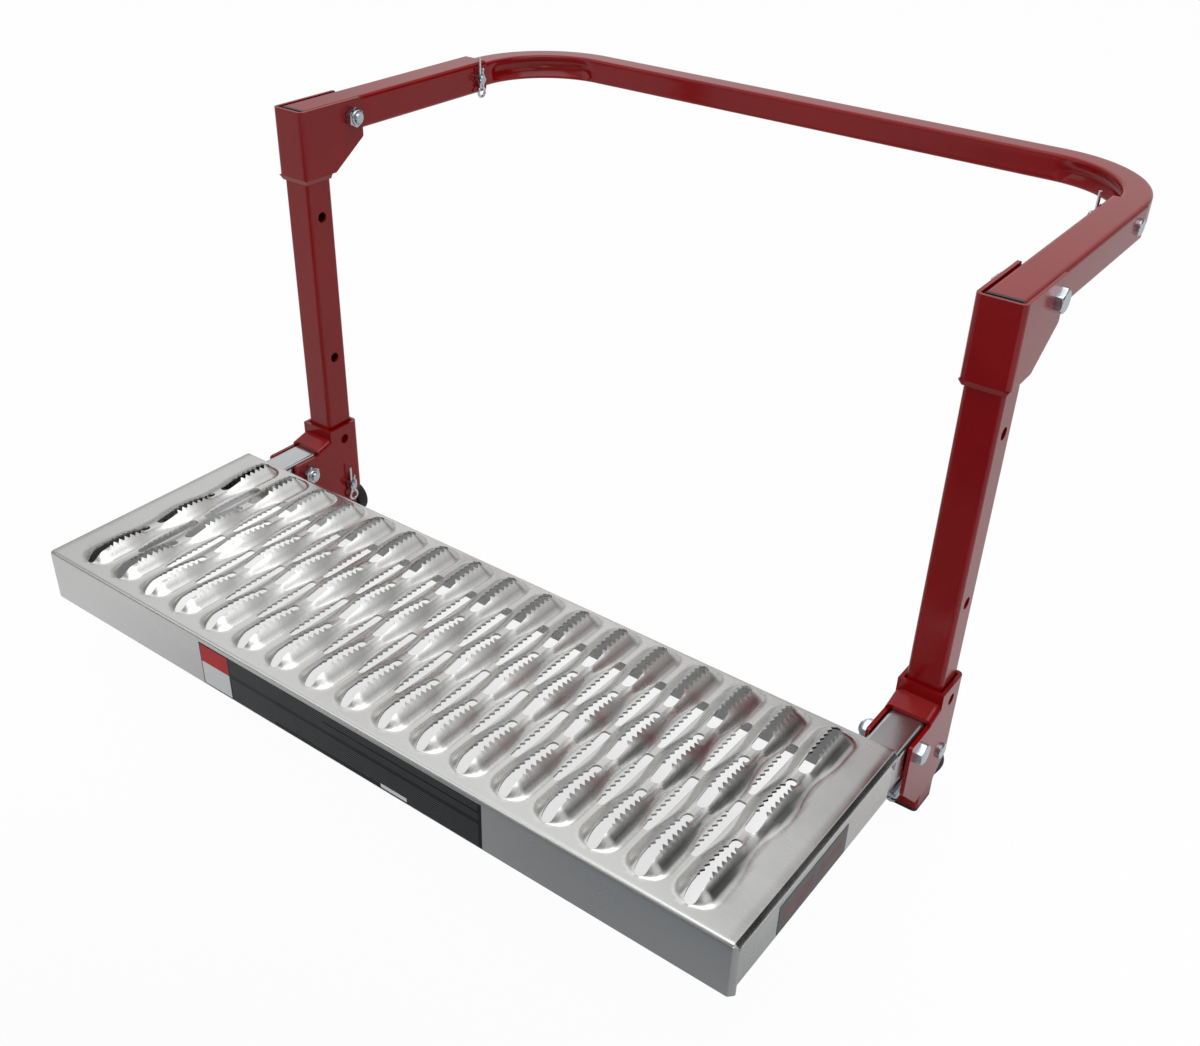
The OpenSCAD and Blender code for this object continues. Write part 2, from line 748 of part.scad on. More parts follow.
// The folded and welded bracket that slides on a leg and carries the tread:
// a channel closed behind the leg, a wall in front of it and a hood that the
// support arm comes up against
module lower_bracket(side) {
    top_at_sleeve = hood_low_z + hood_rise;
    color(crimson) placed() on_side(side) difference() {
        union() {
            intersection() {
                translate([0, 0, cheek_low - bit]) linear_extrude(sleeve_top - cheek_low + 2 * bit) {
                    channel_plan(low_out, low_t, sleeve_rear, pivot_y - cheek_front - bit, fold_r);
                }
                side_view(-low_out - bit, low_out + bit) polygon(soft_outline([
                    [pivot_y - cheek_front, pivot_z + cheek_up, 3],
                    [pivot_y - cheek_front, pivot_z - cheek_corner, 4],
                    [pivot_y - cheek_front + cheek_down - cheek_corner, cheek_low, 4],
                    [sleeve_rear - rear_chamfer, cheek_low, 4],
                    [sleeve_rear, cheek_low + rear_chamfer, 4],
                    [sleeve_rear, sleeve_top, 0],
                    [sleeve_front, sleeve_top, 0],
                    [sleeve_front, top_at_sleeve - fold_r, 0],
                    [hood_front, hood_low_z - fold_r, 0],
                    [hood_front, pivot_z + cheek_up, 0]
                ]));
            }
            translate([-low_in - low_t / 2, sleeve_front, cheek_low + front_wall_up]) {
                cube([2 * low_in + low_t, low_t, sleeve_top - cheek_low - front_wall_up]);
            }
            hood();
        }
        hole_along_x(pivot_y, pivot_z, bolt_d + 2 * sheet_gap);
        hole_along_x(leg_y, pin_z, hole_d);
        hole_along_x(leg_y, spare_z, hole_d);
    }
}

// The hood: the channel's folded top, sloping up from its front edge to the
// sleeve's front wall
module hood() {
    reach = hood_run + 2 * low_t;
    intersection() {
        translate([0, hood_front, hood_low_z]) rotate([90 + hood_tilt, 0, 0]) {
            translate([0, 0, -reach]) linear_extrude(2 * reach) polygon(soft_outline([
                [low_out, -low_t - fold_r, 0],
                [low_out, 0, fold_r],
                [-low_out, 0, fold_r],
                [-low_out, -low_t - fold_r, 0],
                [-low_in, -low_t - fold_r, 0],
                [-low_in, -low_t, fold_r - low_t],
                [low_in, -low_t, fold_r - low_t],
                [low_in, -low_t - fold_r, 0]
            ]));
        }
        side_view(-low_out - bit, low_out + bit) polygon([
            [hood_front, hood_low_z - fold_r - low_t / 2],
            [hood_front, hood_low_z + fold_r],
            [sleeve_front + low_t / 2, hood_low_z + hood_rise + fold_r],
            [sleeve_front + low_t / 2, hood_low_z - fold_r - low_t / 2]
        ]);
    }
}

// The folded bracket welded over the top of a leg, which the arm turns in
module top_bracket(side) {
    front = leg_front - top_t;
    rear = frame_y + top_rear;
    low_end = leg_rear + fold_r;
    color(crimson) placed() on_side(side) difference() {
        union() {
            intersection() {
                translate([0, 0, top_low]) linear_extrude(top_high - top_low) {
                    channel_plan(top_out, top_t, front, rear + bit, fold_r);
                }
                side_view(-top_out - bit, top_out + bit) polygon(soft_outline([
                    [front - bit, top_low, 0],
                    [low_end, top_low, 3],
                    [rear, arm_h - top_rear_drop, 3],
                    [rear, top_high, 2],
                    [front - bit, top_high, 0]
                ]));
            }
            weld_collar();
        }
        hole_along_x(frame_y, arm_h, bolt_d + 2 * sheet_gap);
    }
}

// The weld under a top bracket, tapering in to the leg's front and sides
module weld_collar() {
    lean = 0.6;
    half = tube_w / 2 + lean;
    difference() {
        intersection() {
            side_view(-top_out - bit, top_out + bit) polygon([
                [leg_front - lean, top_low - weld_h],
                [leg_rear, top_low - weld_h],
                [leg_rear, top_low],
                [leg_front - top_t, top_low]
            ]);
            translate([0, leg_rear, 0]) rotate([90, 0, 0]) linear_extrude(2 * tube_w) polygon([
                [-half, top_low - weld_h],
                [half, top_low - weld_h],
                [top_out - 0.2, top_low],
                [0.2 - top_out, top_low]
            ]);
        }
        translate([0, leg_y, top_low - weld_h - bit]) linear_extrude(weld_h + 2 * bit) {
            round_square(tube_w, tube_r);
        }
    }
}

module tread_bolt(side) {
    color(zinc) placed() on_side(side) translate([low_out, pivot_y, pivot_z]) rotate([0, -90, 0]) {
        bolt(bolt_d, 2 * low_out + nut_t + bolt_over);
    }
}

module tread_nut(side) {
    color(zinc) placed() on_side(side) translate([-low_out, pivot_y, pivot_z]) rotate([0, -90, 0]) {
        lock_nut();
    }
}

module frame_bolt(side) {
    color(zinc) placed() on_side(side) translate([top_out, frame_y, arm_h]) rotate([0, -90, 0]) {
        bolt(bolt_d, 2 * top_out + nut_t + bolt_over);
    }
}

module frame_nut(side) {
    color(zinc) placed() on_side(side) translate([-top_out, frame_y, arm_h]) rotate([0, -90, 0]) {
        lock_nut();
    }
}

module height_pin(side) {
    color(zinc) placed() on_side(side) translate([low_out, leg_y, pin_z]) rotate([0, -90, 0]) {
        locking_pin(2 * low_out);
    }
}

module height_clip(side) {
    color(zinc) placed() on_side(side) translate([-low_out - clip_out, leg_y, pin_z]) spring_clip();
}

module hoop_pin(side) {
    color(zinc) placed() on_side(side) translate([tube_w / 2, hoop_pin_y, arm_h]) rotate([0, -90, 0]) {
        locking_pin(tube_w);
    }
}

module hoop_clip(side) {
    color(zinc) placed() on_side(side) {
        translate([-tube_w / 2 - clip_out, hoop_pin_y, arm_h]) spring_clip();
    }
}

// The nut welded to the inside of a leg's front wall for the levelling screw
module weld_nut(side) {
    color(zinc) placed() on_side(side) {
        translate([0, leg_front + tube_t, screw_z]) rotate([-90, 0, 0]) difference() {
            hex_bar(weld_nut_t, high = true);
            translate([0, 0, -bit]) cylinder(h = weld_nut_t + 2 * bit, d = bolt_d);
        }
    }
}

// A levelling screw without a head: a stud whose front end has a driver's slot
module level_screw(side) {
    chamfer = 1;
    r = bolt_d / 2 - nut_gap;
    length = pad_y + pad_bite - screw_tip_y;
    color(zinc) placed() on_side(side) translate([0, screw_tip_y, screw_z]) rotate([-90, 0, 0]) {
        difference() {
            rotate_extrude() polygon([
                [0, 0],
                [r - chamfer, 0],
                [r, chamfer],
                [r, length - chamfer],
                [r - chamfer, length],
                [0, length]
            ]);
            translate([-bolt_d, -screw_slot_w / 2, -bit]) cube([2 * bolt_d, screw_slot_w, screw_slot_depth + bit]);
        }
    }
}

// A round rubber pad whose front socket the screw's tip turns in
module pad(side) {
    edge = 2;
    color(blackish) placed() on_side(side) translate([0, pad_y, screw_z]) rotate([-90, 0, 0]) {
        difference() {
            rotate_extrude() polygon(soft_outline([
                [0, 0, 0],
                [pad_d / 2 - 1, 0, edge],
                [pad_d / 2, pad_t * 0.6, 0],
                [pad_d / 2, pad_t, edge],
                [0, pad_t, 0]
            ]));
            translate([0, 0, -bit]) cylinder(h = bit + pad_bite + 0.3, d = bolt_d + nut_gap);
        }
    }
}

module arm(side) {
    color(crimson) placed() on_side(side) difference() {
        tube_along_y(arm_front + cap_t, arm_rear, arm_h, tube_w, tube_t, tube_r);
        hole_along_x(frame_y, arm_h, bolt_d + 2 * pivot_gap);
        hole_along_x(hoop_pin_y, arm_h, pin_d + 2 * sheet_gap);
    }
}

// Sweeps a section round both bends of the hoop
module hoop_bends() {
    for (side = [-1, 1]) {
        mirror([side < 0 ? 1 : 0, 0, 0]) translate([bend_x, bend_y, arm_h]) {
            rotate_extrude(angle = 90) translate([bend_mid_r, 0]) children();
        }
    }
}

// The straight lengths of the hoop filled with a square bar: its two legs and
// the bar behind the tyre. The legs start over_run before their ends
module hoop_bars(w, r, over_run) {
    $fn = 32;
    leg_start = arm_rear - hoop_insert - over_run;
    for (side = [-1, 1]) {
        on_side(side) translate([0, leg_start, arm_h]) rotate([-90, 0, 0]) {
            linear_extrude(bend_y - leg_start) round_square(w, r);
        }
    }
    translate([-bend_x, hoop_bar_y, arm_h]) rotate([90, 0, 90]) linear_extrude(2 * bend_x) {
        round_square(w, r);
    }
}

// The hoop of bent square tube that goes over the tyre, with a shallow groove
// along the inside of each bend
module hoop() {
    hollow_w = hoop_w - 2 * hoop_t;
    hollow_r = hoop_r - hoop_t;
    color(crimson) placed() difference() {
        union() {
            hoop_bars(hoop_w, hoop_r, 0);
            hoop_bends() difference() {
                round_square(hoop_w, hoop_r, $fn = 32);
                translate([groove_depth - groove_r - hoop_w / 2, 0]) circle(groove_r);
            }
        }
        hoop_bars(hollow_w, hollow_r, bit);
        hoop_bends() round_square(hollow_w, hollow_r, $fn = 32);
        for (side = [-1, 1]) {
            on_side(side) hole_along_x(hoop_pin_y, arm_h, pin_d + 2 * sheet_gap);
        }
    }
}

// The label on the front flange, a bare sticker
module front_label() {
    color("black") placed() {
        translate([front_label_x - front_label_len / 2, -label_t, -front_label_low]) {
            cube([front_label_len, label_t, front_label_h]);
        }
    }
}

// The label on the right end plate, a bare sticker
module side_label() {
    color("dimgray") placed() {
        translate([tread_end - end_recess, side_label_y, -side_label_low]) {
            cube([label_t, side_label_len, side_label_h]);
        }
    }
}

tread_plank();
end_plate(-1);  // left_end_plate
end_plate(1);  // right_end_plate
support_arm(-1);  // left_support_arm
support_arm(1);  // right_support_arm
front_label();
side_label();
upright(-1);  // left_upright
upright(1);  // right_upright
foot_cap(-1);  // left_foot_cap
foot_cap(1);  // right_foot_cap
lower_bracket(-1);  // left_lower_bracket
lower_bracket(1);  // right_lower_bracket
top_bracket(-1);  // left_top_bracket
top_bracket(1);  // right_top_bracket
tread_bolt(-1);  // left_tread_bolt
tread_bolt(1);  // right_tread_bolt
tread_nut(-1);  // left_tread_nut
tread_nut(1);  // right_tread_nut
frame_bolt(-1);  // left_frame_bolt
frame_bolt(1);  // right_frame_bolt
frame_nut(-1);  // left_frame_nut
frame_nut(1);  // right_frame_nut
height_pin(-1);  // left_height_pin
height_pin(1);  // right_height_pin
height_clip(-1);  // left_height_clip
height_clip(1);  // right_height_clip
weld_nut(-1);  // left_weld_nut
weld_nut(1);  // right_weld_nut
arm(-1);  // left_arm
arm(1);  // right_arm
arm_cap(-1);  // left_arm_cap
arm_cap(1);  // right_arm_cap
hoop();
hoop_pin(-1);  // left_hoop_pin
hoop_pin(1);  // right_hoop_pin
hoop_clip(-1);  // left_hoop_clip
hoop_clip(1);  // right_hoop_clip
level_screw(-1);  // left_level_screw
level_screw(1);  // right_level_screw
pad(-1);  // left_pad
pad(1);  // right_pad
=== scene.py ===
# %% [markdown]
# # A fold-away tire step
#
# The step is a grip-strut tread of galvanised sheet, hung from two legs of
# square tube. Its arms and its hoop of bent tube go over a tire. The CAD model
# is already in place when the frame is loaded, and this notebook gives the step
# its surfaces: the raised teeth of the tread, the crushed bends of the hoop,
# the threads of the bolts, and the finishes of steel, paint, plastic and rubber.
#
# All lengths below are first written in millimetres, from the front top edge of
# the tread at its middle, as the CAD source does, so the two can be read side by
# side. The function `part` moves them to the part's own frame in metres, whose
# origin is the middle of the step, level with the undersides of the feet.

# %% The fixed frame
import json
import math

import bpy
import numpy as np
from mathutils import Euler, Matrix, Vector


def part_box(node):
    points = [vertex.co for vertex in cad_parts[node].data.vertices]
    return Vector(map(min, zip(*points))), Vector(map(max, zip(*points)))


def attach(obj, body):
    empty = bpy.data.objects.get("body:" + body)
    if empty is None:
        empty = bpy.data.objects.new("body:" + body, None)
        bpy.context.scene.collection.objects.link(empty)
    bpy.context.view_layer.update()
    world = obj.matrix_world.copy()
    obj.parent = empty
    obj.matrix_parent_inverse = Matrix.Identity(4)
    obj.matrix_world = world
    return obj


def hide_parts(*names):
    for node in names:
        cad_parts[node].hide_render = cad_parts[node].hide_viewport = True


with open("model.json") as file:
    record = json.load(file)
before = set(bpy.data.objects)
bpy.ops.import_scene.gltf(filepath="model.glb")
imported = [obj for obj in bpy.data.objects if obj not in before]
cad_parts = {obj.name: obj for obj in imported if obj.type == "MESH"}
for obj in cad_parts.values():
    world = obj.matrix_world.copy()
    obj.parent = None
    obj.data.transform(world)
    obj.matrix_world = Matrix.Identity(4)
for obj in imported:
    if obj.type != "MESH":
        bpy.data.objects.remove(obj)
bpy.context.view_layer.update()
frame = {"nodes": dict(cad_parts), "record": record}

TREAD_DEPTH = 241.0
HOOP_REAR = 711.0
LABEL_T = 0.3
LEG_DROP = 130.0
CAP_T = 3.5
ORIGIN = np.array([0.0, (HOOP_REAR - LABEL_T) / 2, -(LEG_DROP + CAP_T)])


def part(points):
    """Millimetres from the tread's front edge to metres in the part's frame: (p - origin) / 1000."""
    return (np.asarray(points, float) - ORIGIN) * 0.001


# %% [markdown]
# ## The camera
#
# The photograph looks at the step from the right and from above, in a clear
# perspective. A camera could be set by eye, but then few edges would lie where
# the picture has them. So one perspective was fitted to the corners of the
# tubes and of the tread: a lens of 39.9 mm on a 36 mm sensor, 1.1 m from the
# middle of the tread. The shift is the small offset of the optical axis from
# the middle of the picture.

# %% Camera
SENSOR = 36.0
LENS = 39.87
LENS_SHIFT = (0.0154, 0.0140)
CAMERA_PLACE = (0.6319, -0.8868, 0.8274)
CAMERA_TURN = (56.860, -1.133, 37.057)

camera_data = bpy.data.cameras.new("camera")
camera_data.sensor_width = SENSOR
camera_data.lens = LENS
camera_data.shift_x, camera_data.shift_y = LENS_SHIFT
camera = bpy.data.objects.new("camera", camera_data)
camera.location = CAMERA_PLACE
camera.rotation_euler = Euler([math.radians(a) for a in CAMERA_TURN])
bpy.context.scene.collection.objects.link(camera)
bpy.context.scene.camera = camera
bpy.context.scene.view_settings.view_transform = "Standard"
print("camera at", CAMERA_PLACE, "lens", LENS)

# %% [markdown]
# ## Meshes from arrays
#
# Folded sheet, bent tube and threads are all surfaces that a formula describes.
# They could be modelled by hand or with modifiers, but a formula gives every
# tooth and every turn of thread the same exact form. So each surface here is a
# grid of points, computed whole as a numpy array. Faces are index arithmetic on
# the same grid, and no loop runs over single points.


# %% Meshes from arrays
def mesh_object(name, points, faces, body, material, angle=35.0):
    """A piece whose points are in metres, shaded smooth up to the given angle between faces."""
    mesh = bpy.data.meshes.new(name)
    mesh.from_pydata(np.asarray(points).reshape(-1, 3).tolist(), [], [list(f) for f in faces])
    mesh.validate()
    mesh.materials.append(material)
    mesh.shade_smooth()
    mesh.set_sharp_from_angle(angle=math.radians(angle))
    piece = bpy.data.objects.new(name, mesh)
    bpy.context.scene.collection.objects.link(piece)
    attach(piece, body)
    return piece


def grid_faces(rows, columns):
    """Quads (r, c), (r, c + 1), (r + 1, c + 1), (r + 1, c), where the last column joins the first."""
    r, c = np.meshgrid(np.arange(rows - 1), np.arange(columns), indexing="ij")
    d = (c + 1) % columns
    quads = [r * columns + c, r * columns + d, (r + 1) * columns + d, (r + 1) * columns + c]
    return np.stack(quads, -1).reshape(-1, 4).tolist()


# %% [markdown]
# ## Finishes
#
# No real surface has one even colour. Steel comes cloudy from the rolls, powder
# coat has a fine orange peel, and moulded plastic a dull grain. Such marks could
# be painted as images, but noise that is computed from the part's own
# coordinates needs no picture and never stretches over a corner. Each finish is
# one node tree, so a few small helpers make, fill and join its nodes.


# %% Nodes
def fill(tree, node, inputs):
    """Fills a node's sockets: {socket: a value, or the output that is linked to it}."""
    for key, value in inputs.items():
        if isinstance(value, bpy.types.NodeSocket):
            tree.links.new(value, node.inputs[key])
        else:
            node.inputs[key].default_value = value
    return node


def add(tree, kind, inputs=None, operation=None):
    """A new node of this kind, with its sockets filled."""
    node = tree.nodes.new(kind)
    if operation:
        node.operation = operation
    return fill(tree, node, inputs or {})


def maths(tree, operation, *values):
    """One arithmetic node of the values, in the order of its sockets."""
    return add(tree, "ShaderNodeMath", dict(enumerate(values)), operation).outputs[0]


def smooth_step(tree, value, low, high, start, end):
    """start + (end - start)(3 t^2 - 2 t^3), where t = (value - low) / (high - low) within 0 and 1."""
    node = tree.nodes.new("ShaderNodeMapRange")
    node.interpolation_type = "SMOOTHSTEP"
    limits = {"From Min": low, "From Max": high, "To Min": start, "To Max": end}
    return fill(tree, node, {"Value": value, **limits}).outputs["Result"]


def mix_colours(tree, share, first, second):
    """first + share x (second - first)."""
    node = tree.nodes.new("ShaderNodeMix")
    node.data_type = "RGBA"
    return fill(tree, node, {"Factor": share, "A": first, "B": second}).outputs["Result"]


# %% [markdown]
# A wide noise moves the colour and the roughness a little. A finer noise gives
# the surface its grain through a bump, which costs no faces. Both run through
# one Mapping node, so that a finish can be drawn out along one axis.

# %% Finish builder
NOISE_SPAN = (0.3, 0.7)
SMOOTHEST = 0.02


def finish(name, colour, rough, metal=0.0, spread=0.1, rough_spread=0.06, blotch=25.0,
           stretch=(1, 1, 1), grain=900.0, bump=0.02, lift=0.0002, specular=0.5):
    """Colour = colour x (1 +- spread x noise), roughness = rough +- rough_spread x noise."""
    material = bpy.data.materials.new(name)
    material.use_nodes = True
    tree = material.node_tree
    place = add(tree, "ShaderNodeTexCoord").outputs["Object"]
    drawn = add(tree, "ShaderNodeMapping", {"Vector": place, "Scale": stretch}).outputs["Vector"]
    wide = add(tree, "ShaderNodeTexNoise", {"Vector": drawn, "Scale": blotch, "Detail": 5.0})
    fine = add(tree, "ShaderNodeTexNoise", {"Vector": drawn, "Scale": grain, "Detail": 3.0})
    ramp = add(tree, "ShaderNodeValToRGB", {"Fac": wide.outputs["Fac"]})
    for end, position, share in zip(ramp.color_ramp.elements, NOISE_SPAN, (1 - spread, 1 + spread)):
        end.position = position
        end.color = (*[min(1.0, c * share) for c in colour], 1)
    spans = add(tree, "ShaderNodeMapRange", {
        "Value": wide.outputs["Fac"], "From Min": NOISE_SPAN[0], "From Max": NOISE_SPAN[1],
        "To Min": max(SMOOTHEST, rough - rough_spread), "To Max": rough + rough_spread})
    relief = add(tree, "ShaderNodeBump", {
        "Height": fine.outputs["Fac"], "Strength": bump, "Distance": lift})
    fill(tree, tree.nodes["Principled BSDF"], {
        "Metallic": metal, "Specular IOR Level": specular, "Base Color": ramp.outputs["Color"],
        "Roughness": spans.outputs["Result"], "Normal": relief.outputs["Normal"]})
    return material


# %% [markdown]
# The tread and its support arms are galvanised: a bright zinc skin on steel.
# Bolts and pins have a thinner, bluer plating, and the clips are drawn wire. All
# of these are metals here, told apart by brightness, roughness and grain. The
# frame is powder-coated a deep crimson. It is no metal, so a face seen at a low
# angle mirrors the pale floor, and one seen squarely keeps its full red.
#
# A brushed look could come from anisotropy. Rolling leaves only faint streaks
# along X, so it was simpler and closer to squeeze the sheet's noise in Y.

# %% Finishes
sheet_steel = finish("galvanised_sheet", (0.605, 0.60, 0.583), 0.26, metal=1.0, spread=0.05,
                     rough_spread=0.05, blotch=14, stretch=(0.35, 1.6, 1.6), grain=420, bump=0.30)
tube_steel = finish("galvanised_tube", (0.52, 0.53, 0.54), 0.21, metal=1.0, spread=0.07,
                    blotch=30, stretch=(1.5, 0.3, 1.5), bump=0.15)
crimson = finish("crimson_paint", (0.25, 0.003, 0.004), 0.16, spread=0.08, rough_spread=0.03,
                 blotch=18, grain=420, bump=0.10, specular=0.34)
zinc = finish("zinc_plate", (0.50, 0.54, 0.58), 0.22, metal=1.0, rough_spread=0.08,
              blotch=180, grain=1500, bump=0.2, lift=0.0001)
wire = finish("spring_wire", (0.62, 0.64, 0.66), 0.22, metal=1.0, spread=0.08,
              blotch=220, stretch=(1, 1, 0.3), grain=1600, bump=0.2, lift=0.0001)
plastic = finish("black_plastic", (0.018, 0.018, 0.019), 0.48, spread=0.25,
                 blotch=60, grain=1400, bump=0.35)
rubber = finish("black_rubber", (0.014, 0.014, 0.015), 0.68, spread=0.3, rough_spread=0.08,
                blotch=90, grain=1100, bump=0.5, lift=0.0003)
print("finishes", [m.name for m in (sheet_steel, tube_steel, crimson, zinc, wire, plastic, rubber)])

# %% [markdown]
# ## The stickers
#
# One sticker lies on the front flange and one on the right end plate. The front
# one has a red field over a white one at its left end, then a black field ruled
# with fine grey lines, and one small white box. The side one is a dull grey
# field with two dull red bars.
#
# Such fields could be faces of their own, but then each border would need an
# edge in the mesh. Here a field is a product of steps in the sticker's material:
# 1 where the coordinate is inside it and 0 outside, sharp at any distance.

# %% Sticker builder
STICKER_ROUGH = 0.35
STICKER_SPECULAR = 0.22


def between(tree, value, low, high, every=None):
    """1 where low < value < high, else 0. With `every`, value mod every is taken first."""
    if every:
        value = maths(tree, "WRAP", value, every, 0.0)
    above = maths(tree, "GREATER_THAN", value, low)
    return maths(tree, "MULTIPLY", above, maths(tree, "LESS_THAN", value, high))


def sticker(name, ground, fields):
    """Fields of (colour, two of (axis, low, high)) in metres; a later field covers an earlier one."""
    material = finish(name, ground, STICKER_ROUGH, spread=0.12, blotch=60, grain=1200, bump=0.05,
                      specular=STICKER_SPECULAR)
    tree = material.node_tree
    shader = tree.nodes["Principled BSDF"]
    place = add(tree, "ShaderNodeTexCoord").outputs["Object"]
    split = add(tree, "ShaderNodeSeparateXYZ", {"Vector": place})
    colour = shader.inputs["Base Color"].links[0].from_socket
    for paint, *limits in fields:
        bands = [between(tree, split.outputs[axis], *span) for axis, *span in limits]
        colour = mix_colours(tree, maths(tree, "MULTIPLY", *bands), colour, (*paint, 1))
    fill(tree, shader, {"Base Color": colour})
    return material


# %% [markdown]
# The grey rules of the black field repeat every 2.2 mm, so their height is
# wrapped before its step: `0.3 mm < z mod 2.2 mm < 1.2 mm`. Two plain black
# bands then part the rules into blocks.

# %% Stickers
front_low, front_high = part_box("front_label")
side_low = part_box("side_label")[0]
front_x, front_z = front_low.x, front_low.z
side_y, side_z = side_low.y, side_low.z
RULE_PITCH = 0.0022
red_print = (0.56, 0.012, 0.012)
rule_grey = (0.085, 0.085, 0.085)
black_print = (0.008, 0.008, 0.009)
front_print = sticker("front_label", black_print, [
    (rule_grey, ("X", front_x + 0.038, front_high.x - 0.003), ("Z", 0.0003, 0.0012, RULE_PITCH)),
    (black_print, ("X", front_x + 0.038, front_high.x), ("Z", front_z + 0.0245, front_z + 0.0275)),
    (black_print, ("X", front_x + 0.150, front_high.x), ("Z", front_z + 0.0350, front_z + 0.0375)),
    (black_print, ("X", front_x + 0.090, front_x + 0.230), ("Z", front_z, front_z + 0.0045)),
    ((0.90, 0.90, 0.90), ("X", front_x + 0.212, front_x + 0.240), ("Z", front_z + 0.0015, front_z + 0.0055)),
    ((0.80, 0.80, 0.80), ("X", front_x + 0.001, front_x + 0.036), ("Z", front_z + 0.001, front_z + 0.0435)),
    (red_print, ("X", front_x + 0.001, front_x + 0.036), ("Z", front_z + 0.025, front_z + 0.0435)),
])
side_print = sticker("side_label", (0.10, 0.10, 0.10), [
    ((0.17, 0.055, 0.055), ("Y", side_y + 0.006, side_y + 0.052), ("Z", side_z + 0.008, side_z + 0.020)),
    ((0.15, 0.05, 0.05), ("Y", side_y + 0.060, side_y + 0.096), ("Z", side_z + 0.010, side_z + 0.020)),
])
print("stickers", [len(m.node_tree.nodes) for m in (front_print, side_print)], "nodes")

# %% [markdown]
# ## The tread
#
# The tread is one folded sheet, with its ridges pressed up and its slots
# punched in one stroke of the tool. It could be cut from the sheet with
# booleans, but hundreds of cuts leave poor faces. So its top is one grid whose
# lines already follow every edge, of about 190 rows and 290 columns. The rows
# run along X, about 1.2 mm apart, and the columns follow the slots:
#
# - slots of line A lie on the crest of each ridge, toothed on both edges;
# - slots of line B lie in each valley, toothed on the left edge only.
#
# A period of 78 mm in Y holds one slot of 68 mm and one bridge of 10 mm. Line B
# is half a period behind, so the breaks at 0, 29, 39, 68 and 78 mm are all rows
# of the grid. Five rows make one tooth.

# %% Rows of the tread
PITCH = 41.0
RIDGES = 17
FRONT = 11.5
STEP = 78.0
SLOT = 68.0
SLOTS = 3
LONG_ROWS = 24
SHORT_ROWS = 8
REAR = FRONT + SLOTS * STEP - (STEP - SLOT)

breaks = [0.0, STEP / 2 - (STEP - SLOT), STEP / 2, SLOT, STEP]
one_period = np.concatenate([
    np.linspace(low, high, count, endpoint=False)
    for low, high, count in zip(breaks, breaks[1:], (LONG_ROWS, SHORT_ROWS) * 2)])
all_rows = np.concatenate([FRONT + one_period + k * STEP for k in range(SLOTS)])
ridge_y = np.append(all_rows[all_rows < REAR - 0.01], REAR)
rows = len(ridge_y)
print("ridge rows", rows)


# %% [markdown]
# The height of a ridge is a product. `wave` is its swell: full at the middle of
# each slot and 0.58 at each bridge, a cosine between. `sin(pi n / 2)` rounds
# the nose at each end, where n climbs from 0 at the tip to 1. Across the ridge
# the flank falls from the slot's edge to the foot as `f(u)`, a mean of the line
# 1 - u and the smooth step 1 - 3u^2 + 2u^3. A product was chosen because each
# factor can be read off the photograph by itself.

# %% Height of the tread
RIDGE_H = 8.5
HALF_SLOT = 5.0
FLANK = 12.5
DIP = 0.58
NOSE = 14.5
FOOT_NOSE = NOSE + 2
FLAT_SHARE = 0.4


def swell(y):
    """dip + (1 - dip)(1 + cos(2 pi (y - y1) / step)) / 2 between the first and last crests, else 1."""
    first, last = FRONT + SLOT / 2, REAR - SLOT / 2
    wave = DIP + (1 - DIP) * (1 + np.cos(2 * np.pi * (y - first) / STEP)) / 2
    return np.where((y < first) | (y > last), 1.0, wave)


def nose(y, run):
    """0 at a ridge's tip and 1 past the nose: min(1, (y - front) / run, (rear - y) / run)."""
    return np.clip(np.minimum((y - FRONT) / run, (REAR - y) / run), 0, 1)


def relief(off, y):
    """Height at `off` mm beside the crest: h wave sin(pi n / 2) f(u), u = (off - flat) / (foot - flat)."""
    foot = np.sqrt(1 - (1 - nose(y, FOOT_NOSE)) ** 2) * (HALF_SLOT + FLANK * swell(y))
    flat = np.minimum(HALF_SLOT, FLAT_SHARE * foot)
    u = np.clip((np.abs(off) - flat) / np.maximum(foot - flat, 0.5), 0, 1)
    fall = 0.5 * (1 - u) + 0.5 * (1 - 3 * u ** 2 + 2 * u ** 3)
    return RIDGE_H * swell(y) * np.sin(nose(y, NOSE) * np.pi / 2) * fall


print("crest", round(float(relief(0, FRONT + SLOT / 2)), 2), "mm high")


# %% [markdown]
# The teeth are what grips a boot: the punch bites into the slot's edge and bends
# the points up. The outline of a slot is given at a few places along it and
# interpolated. The teeth are a triangle wave over five rows, from 21 mm to
# 60 mm in line A and from 10 mm to 54 mm in line B. Tying each tooth to whole
# rows keeps its point sharp with few faces.

# %% Outline of the slots
TOOTH_ROWS = 5
PLAIN_EDGE = 0.25
CLOSED_HALF = 1.6


def line_edges(first, count, left, right, teeth, tooth_l, tooth_r):
    """Half widths and tooth lengths of a line of slots, at each ridge row.

    With t = y - first - k step, a half width is read off its outline at t. A tooth is
    0.25 + length (1 - |i mod 5 - 2| / 2) at row i, where t is within the limits `teeth`.
    """
    k = np.clip(np.floor((ridge_y - first + 1e-6) / STEP), 0, count - 1)
    t = ridge_y - first - k * STEP
    triangle = 1 - np.abs((np.arange(rows) % TOOTH_ROWS) - 2) / 2
    bite = np.where((t > teeth[0]) & (t < teeth[1]), np.clip(triangle, 0, 1), 0.0)
    half_l, half_r = (np.interp(t, *np.array(edge).T) for edge in (left, right))
    return half_l, half_r, PLAIN_EDGE + tooth_l * bite, PLAIN_EDGE + tooth_r * bite, bite


